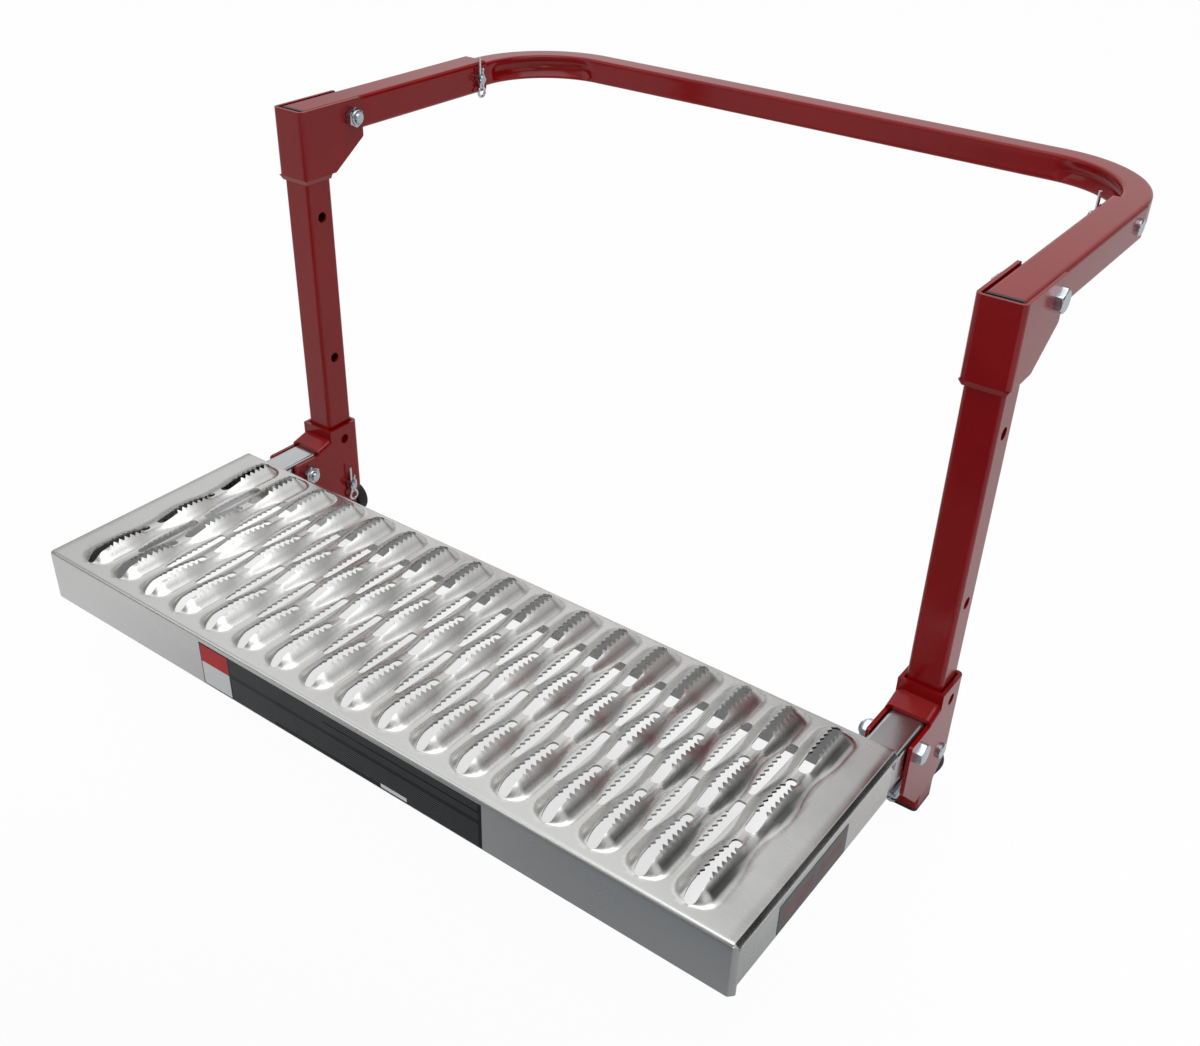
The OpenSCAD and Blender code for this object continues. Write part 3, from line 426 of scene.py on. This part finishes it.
edges_a = line_edges(
    FRONT, SLOTS,
    [(-3, CLOSED_HALF), (0, 1.6), (1.3, 3.4), (2.6, 4.2), (5, 4.7), (18, 5.0), (24, 5.6), (56, 5.6),
     (59, 4.4), (61, 4.2), (64, 4.6), (66.8, 3.4), (68, 1.6), (72, CLOSED_HALF)],
    [(-3, CLOSED_HALF), (0, 2.0), (1.3, 4.2), (2.6, 5.2), (5, 5.8), (14, 5.6), (18, 5.2), (24, 5.6),
     (56, 5.6), (59, 4.2), (61, 3.8), (64, 4.4), (66.8, 3.4), (68, 1.6), (72, CLOSED_HALF)],
    (21, 60), 2.4, 2.6)
edges_b = line_edges(
    FRONT + STEP / 2, SLOTS - 1,
    [(-3, CLOSED_HALF), (0, 1.4), (1.3, 2.8), (2.6, 3.3), (8, 3.6), (12, 5.0), (52, 5.2), (56, 4.4),
     (64, 4.6), (66.8, 4.0), (68, 2.4), (72, CLOSED_HALF)],
    [(-3, CLOSED_HALF), (0, 1.4), (1.3, 2.8), (2.6, 3.4), (8, 3.8), (20, 4.2), (56, 4.4), (64, 4.4),
     (66.8, 3.8), (68, 2.4), (72, CLOSED_HALF)],
    (10, 54), 2.8, 0.0)
print("longest tooth", round(float(edges_b[2].max() - PLAIN_EDGE), 2), "mm")


# %% [markdown]
# Each line of slots takes four columns: the root and the tip of its left edge
# and the tip and the root of its right edge. Between neighbouring lines lie
# four more columns, on the flank. The last nine columns at each end are kept
# for the lip that is turned over the end plate.

# %% Columns of the tread
FLANK_SHARES = np.array([0.22, 0.45, 0.68, 0.86])
TOOTHED_EDGE = 0.3
LIP_X = 370.9
LIP_STEPS = 9
LINE_A, LINE_B = 1, 2
margin_x = np.array([334.5, 338.0, 341.5, 345.0, 348.5, 355.0, 364.0, *[LIP_X] * LIP_STEPS])


def line_columns(centre, edges):
    """X of four columns, c - l, c - l + tip, c + r - tip and c + r, and each one's share of a tooth."""
    half_l, half_r, tip_l, tip_r, bite = edges
    x = [centre - half_l, centre - half_l + tip_l, centre + half_r - tip_r, centre + half_r]
    share = [0 * bite, bite * (tip_l > TOOTHED_EDGE), bite * (tip_r > TOOTHED_EDGE), 0 * bite]
    return np.stack(x, -1), np.stack(share, -1)


blocks, curls, kinds = [], [], []
for line in range(2 * RIDGES - 1):
    middle = (line / 2 - (RIDGES - 1) / 2) * PITCH
    x, tooth = line_columns(middle, edges_b if line % 2 else edges_a)
    if blocks:
        left_x, right_x = blocks[-1][:, -1:], x[:, :1]
        shares = FLANK_SHARES if line % 2 else 1 - FLANK_SHARES[::-1]
        blocks.append(left_x + (right_x - left_x) * shares)
        curls.append(np.zeros((rows, len(shares))))
        kinds += [0] * len(shares)
    blocks.append(x)
    curls.append(tooth)
    kinds += [0, LINE_B if line % 2 else LINE_A, 0, 0]

spare = len(margin_x)
margin = np.repeat(margin_x[None], rows, 0)
grid_x = np.concatenate([-margin[:, ::-1], *blocks, margin], 1)
curl = np.concatenate([0 * margin, *curls, 0 * margin], 1)
kind = np.array([0] * spare + kinds + [0] * spare)
columns = grid_x.shape[1]
print("tread grid", rows, "x", columns)

# %% [markdown]
# The height at a column is measured from the nearest ridge. A tooth's point is
# lifted: 1.8 mm on the right edge of line A, where the photograph shows it
# standing up, and 0.5 mm on the left edges.

# %% Points of the ridges
CURL_RIGHT, CURL_LEFT = 1.8, 0.5
last_ridge = (RIDGES - 1) / 2
grid_y = np.repeat(ridge_y[:, None], columns, 1)
nearest = np.clip(np.round(grid_x / PITCH), -last_ridge, last_ridge) * PITCH
tip_right = np.roll(kind == LINE_A, 1)
grid_z = relief(grid_x - nearest, grid_y) + curl * np.where(tip_right, CURL_RIGHT, CURL_LEFT)
field = np.stack([grid_x, grid_y, grid_z], -1)
print("highest point", round(float(grid_z.max()), 2), "mm over the flat sheet")

# %% [markdown]
# In front of and behind the ridges the sheet runs flat to its bends and down
# its flanges, as a press brake folds it. A bend is a quarter circle of radius
# 3.5 mm outside and 1.5 mm inside. A Solidify modifier could give the sheet its
# thickness, but it would thin the teeth. So both faces are built from the same
# rows: the outside and, 2 mm under it, the inside.

# %% Rows of the flanges
SHEET_T = 2.0
BEND_R = 3.5
FLANGE = 51.0
TAB = 16.0
FRONT_DOWN = [-9.0, -20.0, -30.0, -40.0, -FLANGE]
REAR_DOWN = [-9.0, -TAB, -28.0, -40.0, -FLANGE]
FLAT_FRONT = [(5.0, 0.0), (8.0, 0.0)]
FLAT_REAR = [(236.3, 0.0)]
bend = np.linspace(0, np.pi / 2, 9)
rest_x = grid_x[0]


def flange_rows(skin, down, edge_y, way):
    """(y, z) down a flange, `skin` mm inside it, first round the bend. way is -1 in front, 1 behind.

    In the bend y = edge - way (R - r sin a) and z = r cos a - R, with R = 3.5 and r = R - skin.
    """
    radius = BEND_R - skin
    y = edge_y - way * BEND_R + way * radius * np.sin(bend)
    z = radius * np.cos(bend) - BEND_R
    return np.column_stack([[*y, *[edge_y - way * skin] * len(down)], [*z, *down]])


def straight(profile):
    """Rows of points (x, y, z): each column's own resting x at each (y, z) of a profile."""
    y, z = (np.repeat(v[:, None], columns, 1) for v in np.array(profile).T)
    return np.stack([np.repeat(rest_x[None], len(y), 0), y, z], -1)


def sheet_face(skin):
    """All rows of one face of the sheet, `skin` mm under the outside."""
    under_by = np.array([0, 0, -skin])
    middle_rows = [part_rows + under_by for part_rows in (straight(FLAT_FRONT), field, straight(FLAT_REAR))]
    front = straight(flange_rows(skin, FRONT_DOWN, 0.0, -1)[::-1])
    return np.concatenate([front, *middle_rows, straight(flange_rows(skin, REAR_DOWN, TREAD_DEPTH, 1))])


top, under = sheet_face(0.0), sheet_face(SHEET_T)
first_field = len(bend) + len(FRONT_DOWN) + len(FLAT_FRONT)
print("sheet rows", len(top), "first ridge row", first_field)

# %% [markdown]
# Both ends of the sheet are turned down over the end plates, in a sloping lip
# that catches the dark of the room. A round bevel could stand for it, but the
# photograph shows a slope with a soft start and a short drop. So its profile is
# a chain of short straights of length l at the angle p: a point stands
# `sum l cos p` out and `sum l sin p` deep. The inside follows 2 mm off along
# the normal. Depth is measured from the outside of the sheet to its inside, so
# that one rule bends the top, the front flange and the rear flange.

# %% Lips
lip_length = np.array([0.5, 0.5, 0.6, 2.0, 2.0, 0.5, 0.4, 0.8])
lip_angle = np.radians([14.0, 32, 42, 46, 49, 60, 76, 90])
lip_out = np.append(0, np.cumsum(lip_length * np.cos(lip_angle)))
lip_deep = np.append(0, np.cumsum(lip_length * np.sin(lip_angle)))
lip_normal = np.concatenate([[0], (lip_angle[1:] + lip_angle[:-1]) / 2, [np.pi / 2]])
inward = (under - top)[:, -LIP_STEPS:] / SHEET_T
for skin, off in ((top, 0.0), (under, SHEET_T)):
    out_by = lip_out - off * np.sin(lip_normal)
    deep_by = (lip_deep - off * (1 - np.cos(lip_normal)))[:, None] * inward
    skin[:, -LIP_STEPS:, 0] += out_by
    skin[:, :LIP_STEPS, 0] -= out_by[::-1]
    skin[:, -LIP_STEPS:] += deep_by
    skin[:, :LIP_STEPS] += deep_by[:, ::-1]
print("lip ends at x", round(float(top[0, -1, 0]), 2))

# %% [markdown]
# A slot is a hole through both faces of the sheet. Instead of a boolean, the
# cells of the grid that lie in it are simply left out, and so are those of the
# notches in the rear flange, which keeps only a tab 16 mm deep over each
# support arm. Wherever a kept cell borders on a missing one, a wall joins the
# two faces: this is the cut edge that shows the thickness.


# %% Cells and walls
def open_rows(count, first):
    """True for the rows of cells inside a slot of this line: 0 <= k < count and y - first - k step < slot."""
    middle = (ridge_y[1:] + ridge_y[:-1]) / 2 - first
    k = np.floor(middle / STEP)
    return (k >= 0) & (k < count) & (middle - k * STEP < SLOT)


def sheet_faces(kept, wide):
    """Outside, inside and edge quads of the kept cells. A point is row x wide + column, + size inside."""
    size = (kept.shape[0] + 1) * wide
    r, c = np.nonzero(kept)
    p = r * wide + c
    outside = np.stack([p, p + 1, p + wide + 1, p + wide], -1)
    inside = np.stack([p, p + wide, p + wide + 1, p + 1], -1) + size
    ring = np.pad(kept, 1)
    neighbours = ((-1, 0, 1, 0), (1, 0, wide, wide + 1), (0, -1, 0, wide), (0, 1, wide + 1, 1))
    walls = []
    for down, across, a, b in neighbours:
        q = p[~ring[r + 1 + down, c + 1 + across]]
        walls.append(np.stack([q + a, q + b, q + b + size, q + a + size], -1))
    return np.concatenate([outside, inside, *walls])


# %% [markdown]
# The tread replaces the CAD model's plank, whose slots have plain edges. It
# rides on the same body, so it folds up with it. Rows this close bring it to
# about 252,000 triangles. That is more than the 200,000 that a piece should
# stay under, so its STL file is thinned when the step is exported.

# %% Tread
NOTCH_X = 334.5
NOTCH_ROWS = 3
kept = np.ones((len(top) - 1, columns - 1), bool)
field_rows = slice(first_field, first_field + rows - 1)
for code, count, first in ((LINE_A, SLOTS, FRONT), (LINE_B, SLOTS - 1, FRONT + STEP / 2)):
    cells = np.nonzero(kind[:-1] == code)[0]
    kept[field_rows, cells] &= ~open_rows(count, first)[:, None]
cell_x = np.abs((rest_x[1:] + rest_x[:-1]) / 2)
kept[-NOTCH_ROWS:, cell_x > NOTCH_X] = False
used, tread_faces = np.unique(sheet_faces(kept, columns), return_inverse=True)
tread_points = part(np.concatenate([top.reshape(-1, 3), under.reshape(-1, 3)]))[used]
tread = mesh_object("tread_sheet", tread_points, tread_faces.reshape(-1, 4), "tread", sheet_steel)
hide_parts("tread_plank")
print("tread triangles", 2 * len(tread.data.polygons))

# %% [markdown]
# ## The hoop
#
# The hoop is 25 mm square tube, bent round twice. Bending crushes its inner
# wall into a groove. A curve with a square bevel could draw the tube, but its
# section can't change on the way. So the tube is swept along its path as a row
# of sections, and in a bend the middle of the inner wall is pushed in by
# `5 mm x s x v`: `s` rises over the first 12 degrees, and `v = 1 - (b / 9)^2`
# across the wall.

# %% Section of the hoop
LEG_X = 354.5
ARM_H = 325.2
ARM_REAR = 594.0
HOOP_W = 25.0
CORNER_R = 3.0
CORNER_STEPS = 6
SIDE_STEPS = 9
DENT = 5.0
DENT_HALF = 9.0


def tube_outline(width, radius):
    """Points a + ib round a square with round corners: one quarter, turned by 1, i, -1 and -i."""
    half = width / 2 - radius
    arc = np.linspace(0, np.pi / 2, CORNER_STEPS)
    corner = half + 1j * half + radius * np.exp(1j * arc)
    side = 0.5j * width - np.linspace(-half, half, SIDE_STEPS)[1:-1]
    whole = np.outer([1, 1j, -1, -1j], np.concatenate([corner, side])).ravel()
    return whole.real, whole.imag


across, up = tube_outline(HOOP_W, CORNER_R)
inner_wall = across < -HOOP_W / 2 + 0.01
dent = DENT * np.clip(1 - (up / DENT_HALF) ** 2, 0, 1) * inner_wall
print("points round the tube", len(across))

# %% [markdown]
# The path runs back along the hoop's right side, from inside the arm, round the
# right bend and to the middle of the rear bar. The left half is its mirror.
# Each section turns with the path, and the dent comes and goes over the first
# and last 12 degrees of a bend.

# %% Path of the hoop
BEND_MID = 95.0
HOOP_INSERT = 110.0
LEG_POINTS = 12
BEND_POINTS = 46
DENT_EASE = 12.0
bar_y = HOOP_REAR - HOOP_W / 2
turn_x, turn_y = LEG_X - BEND_MID, bar_y - BEND_MID
degrees = np.linspace(0, 90, BEND_POINTS)
angle = np.radians(degrees)
leg_y = np.linspace(ARM_REAR - HOOP_INSERT, turn_y, LEG_POINTS, endpoint=False)
right_leg = np.column_stack([np.full(LEG_POINTS, LEG_X), leg_y])
right_bend = np.column_stack([turn_x + BEND_MID * np.cos(angle), turn_y + BEND_MID * np.sin(angle)])
half_path = np.concatenate([right_leg, right_bend, [[turn_x / 2, bar_y], [0, bar_y]]])
half_turn = np.concatenate([np.zeros(LEG_POINTS), angle, [np.pi / 2] * 2])
bent = np.concatenate([np.zeros(LEG_POINTS), degrees, [0, 0]])
share = np.clip(np.minimum(bent, 90 - bent) / DENT_EASE, 0, 1)
ease = share ** 2 * (3 - 2 * share)
path = np.concatenate([half_path, (half_path * [-1, 1])[-2::-1]])
turns = np.concatenate([half_turn, (np.pi - half_turn)[-2::-1]])[:, None]
crush = np.concatenate([ease, ease[-2::-1]])[:, None]
print("sections along the hoop", len(path))

# %% [markdown]
# The tube is open at its ends, inside the arms. A second, smaller skin folds in
# there, so that an end shows a wall and not a paper edge.

# %% Hoop
INNER_SHARE = 0.84
INNER_DEEP = 3


def hoop_sections(size):
    """Points path + size (a + crush dent)(cos turn, sin turn), at the height of the arm + size b."""
    reach = size * (across + crush * dent)
    x = path[:, :1] + reach * np.cos(turns)
    y = path[:, 1:] + reach * np.sin(turns)
    return np.stack([x, y, ARM_H + size * up + 0 * x], -1)


inner = hoop_sections(INNER_SHARE)
shell = np.concatenate([inner[[INNER_DEEP, 0]], hoop_sections(1.0), inner[[-1, -INNER_DEEP - 1]]])
hoop = mesh_object("hoop_tube", part(shell), grid_faces(*shell.shape[:2]), "top_frame", crimson)
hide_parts("hoop")
print("hoop faces", len(hoop.data.polygons))

# %% [markdown]
# ## The fasteners
#
# The bolts are M10 with a head 17 mm across its flats, and the nuts are lock
# nuts with a round collar. The CAD model has them without threads. A thread
# could be a Screw modifier, but it needs a join to the plain shank. Here a bolt
# or a nut is one grid of rings along its axis, and the ring's radius says it
# all. It is a number where the piece is round. On a hexagon it is
# `8.5 / cos t'`, where t' is the angle from the middle of the nearest flat, cut
# by the cone of the chamfer. On a thread it is `R - 0.8 g`, where g is a wave
# of `h / pitch - t / 2 pi` with sloping sides: the turn in the phase is what
# makes it a helix.

# %% Rings of a fastener
SIDES = 72
TURN = np.linspace(0, 2 * np.pi, SIDES, endpoint=False)
HEX_AF = 17.0
HEAD_T = 6.4
BOLT_R = 5.0
THREAD = 1.5
THREAD_DEEP = 0.8
CHAMFER_R = 0.475 * HEX_AF
CHAMFER_RISE = 1.73


def hexagon(depth):
    """Radius of the hexagon `depth` mm under its chamfered face: min(8.5 / cos t', 8.1 + 1.73 depth)."""
    flat = HEX_AF / 2 / np.cos((TURN + np.pi / 6) % (np.pi / 3) - np.pi / 6)
    return np.minimum(flat, CHAMFER_R + CHAMFER_RISE * depth)


def hex_rings(length):
    """Rings of a hexagon from its chamfered face at height 0 to its square one at `length`."""
    return [(depth, hexagon(depth)) for depth in (0, 0.15, 0.35, 0.6, 0.9, 1.2, length)]


def thread_rings(start, end, radius):
    """Rings of a helical thread, radius - 0.8 g, that fades out over its first and last turns."""
    height = np.arange(start, end + 0.01, THREAD / 6)
    phase = (height[:, None] / THREAD - TURN / (2 * np.pi)) % 1
    fade = np.clip(np.minimum(height - start, end - height) / THREAD, 0, 1)
    groove = np.clip(1.25 - 2.5 * np.abs(phase - 0.5), 0, 1) * fade[:, None]
    return list(zip(height, radius - THREAD_DEEP * groove))


print("corners of the head", round(float(hexagon(HEAD_T).max()), 2), "mm from its axis")


# %% [markdown]
# The rings are set on an axis: `p = c + h w + r (cos t u + sin t v)`, where w
# is the axis, u points to the middle of a flat and v = w x u. Two flat ends
# close the piece. Its body is that of the CAD node that it stands for, so it is
# looked up in the record.

# %% Placing a fastener
NODE_BODY = {node: body for body, nodes in frame["record"]["behaviour"]["bodies"].items() for node in nodes}
NODE_SLOT = {row["node"]: row["material_slot"] for row in frame["record"]["subparts"]}


def fastener(name, rings, start, axis, flat, material, node):
    """A closed body of rings (h, r): p = start + h axis + r (cos t flat + sin t (axis x flat))."""
    w, u = np.array(axis, float), np.array(flat, float)
    v = np.cross(w, u)
    height, radius = (np.stack([r[k] + 0 * TURN for r in rings])[:, :, None] for k in (0, 1))
    round_it = np.cos(TURN)[:, None] * u + np.sin(TURN)[:, None] * v
    points = np.array(start) + height * w + radius * round_it
    last = (len(rings) - 1) * SIDES
    faces = grid_faces(len(rings), SIDES)
    faces += [list(range(SIDES))[::-1], list(range(last, last + SIDES))]
    piece = mesh_object(name, part(points), faces, NODE_BODY[node], material, 25.0)
    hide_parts(node)


print("nodes in the record", len(NODE_SLOT))

# %% [markdown]
# The bolts lie along X, heads outside, at the pivots of the tread and of the
# top frame. Their inner ends are threaded and stand 2 mm out of lock nuts. Left
# and right are one loop, because the step is its own mirror there.

# %% Bolts and lock nuts
NUT_T = 9.5
END_OUT = 2.0
THREAD_LONG = 14.0
PIVOTS = (("tread", 375.0, 286.0, -33.0), ("frame", 373.8, 388.0, ARM_H))
NUT_RINGS = [
    (0.0, BOLT_R + 0.1), (0.0, 7.9), *[(h, hexagon(h)) for h in (0.01, 0.3, 0.7, 1.2)],
    (6.2, hexagon(2.0)), (6.6, hexagon(0.9)), (6.9, hexagon(0.4)), (7.1, hexagon(0.0)),
    (7.3, 7.5), (8.6, 7.3), (9.2, 6.9), (NUT_T, 6.2), (NUT_T, BOLT_R + 0.9), (9.2, BOLT_R + 0.1)]
for side, way in (("left", -1), ("right", 1)):
    for pivot, out_x, y, z in PIVOTS:
        inner_x = 2 * LEG_X - out_x
        length = HEAD_T + out_x - inner_x + NUT_T + END_OUT
        bolt = [*hex_rings(HEAD_T), (HEAD_T, BOLT_R),
                *thread_rings(length - THREAD_LONG, length - 0.8, BOLT_R), (length, BOLT_R - 0.8)]
        fastener(f"{side}_{pivot}_bolt_threaded", bolt, (way * (out_x + HEAD_T), y, z), (-way, 0, 0),
                 (0, 1, 0), zinc, f"{side}_{pivot}_bolt")
        fastener(f"{side}_{pivot}_lock_nut", NUT_RINGS, (way * inner_x, y, z), (-way, 0, 0),
                 (0, 1, 0), zinc, f"{side}_{pivot}_nut")
    print(side, "bolts and nuts placed")

# %% [markdown]
# The levelling screws run along Y through nuts welded inside the legs, and set
# how upright the step hangs. Each is a threaded stud. Its front end has a slot
# for a driver: `h = max(h, depth)` wherever `|r cos t| < width / 2`. That keeps
# the slot in the same grid of rings, with no cut.

# %% Level screws
SCREW_TIP_Y = 299.6
SCREW_Z = -106.0
SCREW_R = 4.95
SCREW_LONG = 66.9
DRIVER_W, DRIVER_DEEP = 1.6, 2.4
stud = [*[(0.0, r) for r in (0.5, 1.5, 2.5, 3.3, 3.95)], (0.9, SCREW_R - 0.1),
        *thread_rings(1.0, SCREW_LONG - 0.9, SCREW_R), (SCREW_LONG, SCREW_R - 0.9)]
slotted = []
for height, radius in stud:
    in_slot = np.abs(radius * np.cos(TURN)) < DRIVER_W / 2
    lowest = np.maximum(height, DRIVER_DEEP + 0.002 * height)
    slotted.append((np.where(in_slot, lowest, height), radius))
print("rings of a level screw", len(slotted))

# %% [markdown]
# The screw's other end turns in a round rubber pad, which presses on the tire.
# Moulded ribs keep it from sliding: seven rings 1.9 mm apart, each with a steep
# inner side 0.5 mm wide. Ribs could be rings laid on a disc, but then they
# would cross its face. Here screw and pad are both turned from one profile, and
# one loop places them on each leg.

# %% Level screws and pads in place
PAD_Y = 358.5
PAD_T = 12.5
RIBS = 7
RIB_PITCH, RIB_SIDE, RIB_DEEP = 1.9, 0.5, 1.1
RIB_R = 16.2
pad = [(9.5, 5.1), (0.6, 5.1), (0, 5.8), (0, 15.4), (0.4, 16.6), (1.4, 17.3), (3.0, 17.5), (7.5, 18.0),
       (10.4, 18.0), (11.6, 17.7), (12.3, 17.0)]
for k in range(RIBS):
    rib_r = RIB_R - RIB_PITCH * k
    pad += [(PAD_T, rib_r), (PAD_T - RIB_DEEP, rib_r - RIB_SIDE)]
for side, way in (("left", -1), ("right", 1)):
    fastener(f"{side}_level_screw_threaded", slotted, (way * LEG_X, SCREW_TIP_Y, SCREW_Z), (0, 1, 0),
             (0, 0, 1), zinc, f"{side}_level_screw")
    fastener(f"{side}_ribbed_pad", pad, (way * LEG_X, PAD_Y, SCREW_Z), (0, 1, 0), (0, 0, 1), rubber,
             f"{side}_pad")
print("rings of a pad", len(pad))

# %% [markdown]
# ## Finishes of the CAD pieces
#
# The tubes, brackets, plates, pins and clips are plain machined and folded
# shapes, and the CAD model has them already. They could be rebuilt here, but
# that would add nothing, so they keep their meshes and take their finish by the
# name of their slot.

# %% CAD finishes
by_slot = {"galvanised_sheet": sheet_steel, "galvanised_tube": tube_steel, "crimson_paint": crimson,
           "zinc_plate": zinc, "spring_wire": wire, "black_plastic": plastic, "black_rubber": rubber,
           "front_label": front_print, "side_label": side_print}
for node, slot in NODE_SLOT.items():
    materials = frame["nodes"][node].data.materials
    materials.clear()
    materials.append(by_slot[slot])
print("CAD nodes finished", len(NODE_SLOT))

# %% [markdown]
# ## The studio
#
# The step stands on a sheet of pale paper. Bright steel has hardly a colour of
# its own: it shows what it mirrors. So a painted shadow darkens the floor's
# colour in front of the step, towards the camera, where the tread's shade would
# fall, and the front of the tread mirrors it, bright at its left end and
# blue-grey at its right. A painted gradient on the tread would slide when the
# tread folds. The floor's colour is a smooth step of the distance from that
# spot, from painted shadow to pale paper.

# %% Floor
FLOOR_HALF = 9
# Painted shadow: the floor's colour is a dark blue-grey round this spot, standing for shade in front of the
# step, and fades to pale paper further out.
PAINTED_SHADOW_SPOT = (0.30, -0.95, 0.0)
PAINTED_SHADOW_FROM, PAINTED_SHADOW_TO = 0.30, 0.95
PAINTED_SHADOW_PAPER = (0.105, 0.12, 0.145, 1)
PALE_PAPER = (0.85, 0.86, 0.865, 1)
WHITE = (1, 1, 1, 1)
floor_mesh = bpy.data.meshes.new("floor")
corners = [(x * FLOOR_HALF, y * FLOOR_HALF, 0) for x, y in ((-1, -1), (1, -1), (1, 1), (-1, 1))]
floor_mesh.from_pydata(corners, [], [(0, 1, 2, 3)])
floor = bpy.data.objects.new("floor", floor_mesh)
bpy.context.scene.collection.objects.link(floor)
floor_paint = finish("floor_paper", (0.80, 0.80, 0.80), 0.9, spread=0.01, blotch=3, grain=200)
floor_mesh.materials.append(floor_paint)
tree = floor_paint.node_tree
spot = add(tree, "ShaderNodeTexCoord").outputs["Object"]
# Mask of the painted shadow: 0 near its spot, rising to 1 where the paper is pale.
away = add(tree, "ShaderNodeVectorMath", {0: spot, 1: PAINTED_SHADOW_SPOT}, "DISTANCE").outputs["Value"]
pale = smooth_step(tree, away, PAINTED_SHADOW_FROM, PAINTED_SHADOW_TO, 0.0, 1.0)
# The painted shadow is mixed into the paper's own colour here.
paper = mix_colours(tree, pale, PAINTED_SHADOW_PAPER, PALE_PAPER)
fill(tree, tree.nodes["Principled BSDF"], {"Base Color": paper})
print("floor", 2 * FLOOR_HALF, "m wide")

# %% [markdown]
# The photograph has a white ground. Lamps strong enough to burn the floor out
# would burn out the steel too, so the camera's own rays see the floor almost as
# a white glow, with 3% of its shading. Under the tread they see a third of it,
# so that the shadow there shows through the slots as a pale grey. The border is
# `max(|x - x0| / a, |y - y0| / b)`, which is 1 on the edge of a rectangle.

# %% Floor as the camera sees it
SHADE_MIDDLE = (-0.055, -0.12, 0)
SHADE_HALF = (0.37, 0.15, 1)
SHADE_EDGE = (0.80, 1.0)
GLOW_SHARE = (0.66, 0.97)
offset = add(tree, "ShaderNodeVectorMath", {0: spot, 1: SHADE_MIDDLE}, "SUBTRACT").outputs[0]
distance = add(tree, "ShaderNodeVectorMath", {0: offset}, "ABSOLUTE").outputs[0]
scaled = add(tree, "ShaderNodeVectorMath", {0: distance, 1: SHADE_HALF}, "DIVIDE").outputs[0]
sides = add(tree, "ShaderNodeSeparateXYZ", {"Vector": scaled}).outputs
widest = maths(tree, "MAXIMUM", sides["X"], sides["Y"])
glow_share = smooth_step(tree, widest, *SHADE_EDGE, *GLOW_SHARE)
camera_ray = add(tree, "ShaderNodeLightPath").outputs["Is Camera Ray"]
glow = add(tree, "ShaderNodeEmission", {"Color": WHITE})
blend = add(tree, "ShaderNodeMixShader", {
    "Fac": maths(tree, "MULTIPLY", camera_ray, glow_share),
    1: tree.nodes["Principled BSDF"].outputs[0], 2: glow.outputs[0]})
fill(tree, tree.nodes["Material Output"], {"Surface": blend.outputs[0]})
print("floor nodes", len(tree.nodes))

# %% [markdown]
# The room is a sum of five soft patches of light on a dim ground, like the
# screens and lamps that stand round a bright object in a studio. It could be a
# picture of a room, but a formula is lighter and can be turned patch by patch.
# A patch's strength is a smooth step of the dot product between the
# direction looked at and the patch's middle. A dark screen at the right turns
# the bends of the sheet black there, by one more factor of the same form:
# `L = (0.29 + sum a_k s(d . c_k)) (1 - 0.92 s(d . c))`.

# %% Room
ROOM_LEVEL = 0.29
PATCHES = [((0.0, 0.0, 1.0), 0.66, 0.97, 0.80), ((-0.78, 0.36, 0.50), 0.76, 0.96, 0.26),
           ((-0.54, 0.53, 0.655), 0.92, 0.99, 0.46), ((-0.25, 0.93, 0.22), 0.80, 0.97, 0.45),
           ((0.38, 0.56, 0.74), 0.92, 0.99, 0.36)]
SCREEN = ((0.88, 0.42, 0.20), 0.76, 0.90, 0.92)
world = bpy.data.worlds.new("studio")
bpy.context.scene.world = world
world.use_nodes = True
tree = world.node_tree
tree.nodes.clear()
looked_at = add(tree, "ShaderNodeTexCoord").outputs["Generated"]


def patch(middle, low, high, strength):
    """strength x smooth step of the dot product with `middle`, from `low` to `high`."""
    toward = Vector(middle).normalized()
    dot = add(tree, "ShaderNodeVectorMath", {0: looked_at, 1: toward}, "DOT_PRODUCT")
    return smooth_step(tree, dot.outputs["Value"], low, high, 0.0, strength)


room = ROOM_LEVEL
for row in PATCHES:
    room = maths(tree, "ADD", patch(*row), room)
room = maths(tree, "MULTIPLY", room, maths(tree, "SUBTRACT", 1.0, patch(*SCREEN)))
print("patches of light", len(PATCHES))

# %% [markdown]
# The camera's own rays get a white ground in place of the room. Mirror rays
# still see the room, and its light and dark patches are what gives the steel
# its folds.

# %% Backdrop
ROOM_TINT = (0.99, 1.0, 1.01, 1)
dim = add(tree, "ShaderNodeBackground", {"Color": ROOM_TINT, "Strength": room})
white = add(tree, "ShaderNodeBackground", {"Color": WHITE})
camera_ray = add(tree, "ShaderNodeLightPath").outputs["Is Camera Ray"]
ground = add(tree, "ShaderNodeMixShader", {"Fac": camera_ray, 1: dim.outputs[0], 2: white.outputs[0]})
add(tree, "ShaderNodeOutputWorld", {"Surface": ground.outputs[0]})
print("world nodes", len(tree.nodes))

# %% [markdown]
# Four soft panels light the step: a wide one overhead, one at the front left,
# one at the right, and a small low one at the front right, which draws the
# bright line down the round edges of the right leg. Area lights were chosen
# over a sun because their soft edges show as soft streaks on paint and steel.

# %% Lights
MIDDLE = (0, 0, 0.2)


def panel(name, place, target, size, power):
    """A rectangular soft light at `place`, turned to face `target`."""
    data = bpy.data.lights.new(name, "AREA")
    data.shape = "RECTANGLE"
    data.size, data.size_y = size
    data.energy = power
    lamp = bpy.data.objects.new(name, data)
    lamp.location = place
    lamp.rotation_euler = (Vector(target) - Vector(place)).to_track_quat("-Z", "Y").to_euler()
    lamp.visible_camera = False
    bpy.context.scene.collection.objects.link(lamp)


panel("overhead", (0.4, -0.3, 2.6), MIDDLE, (2.2, 1.8), 17)
panel("front_left", (-1.8, -2.2, 2.2), MIDDLE, (2.2, 2.0), 12)
panel("right", (2.6, -0.4, 1.4), MIDDLE, (1.8, 1.8), 7)
panel("low_right", (1.1, -1.15, 0.22), (0.37, 0, 0.3), (0.35, 0.5), 1.2)
print("lights", len(bpy.data.lights))
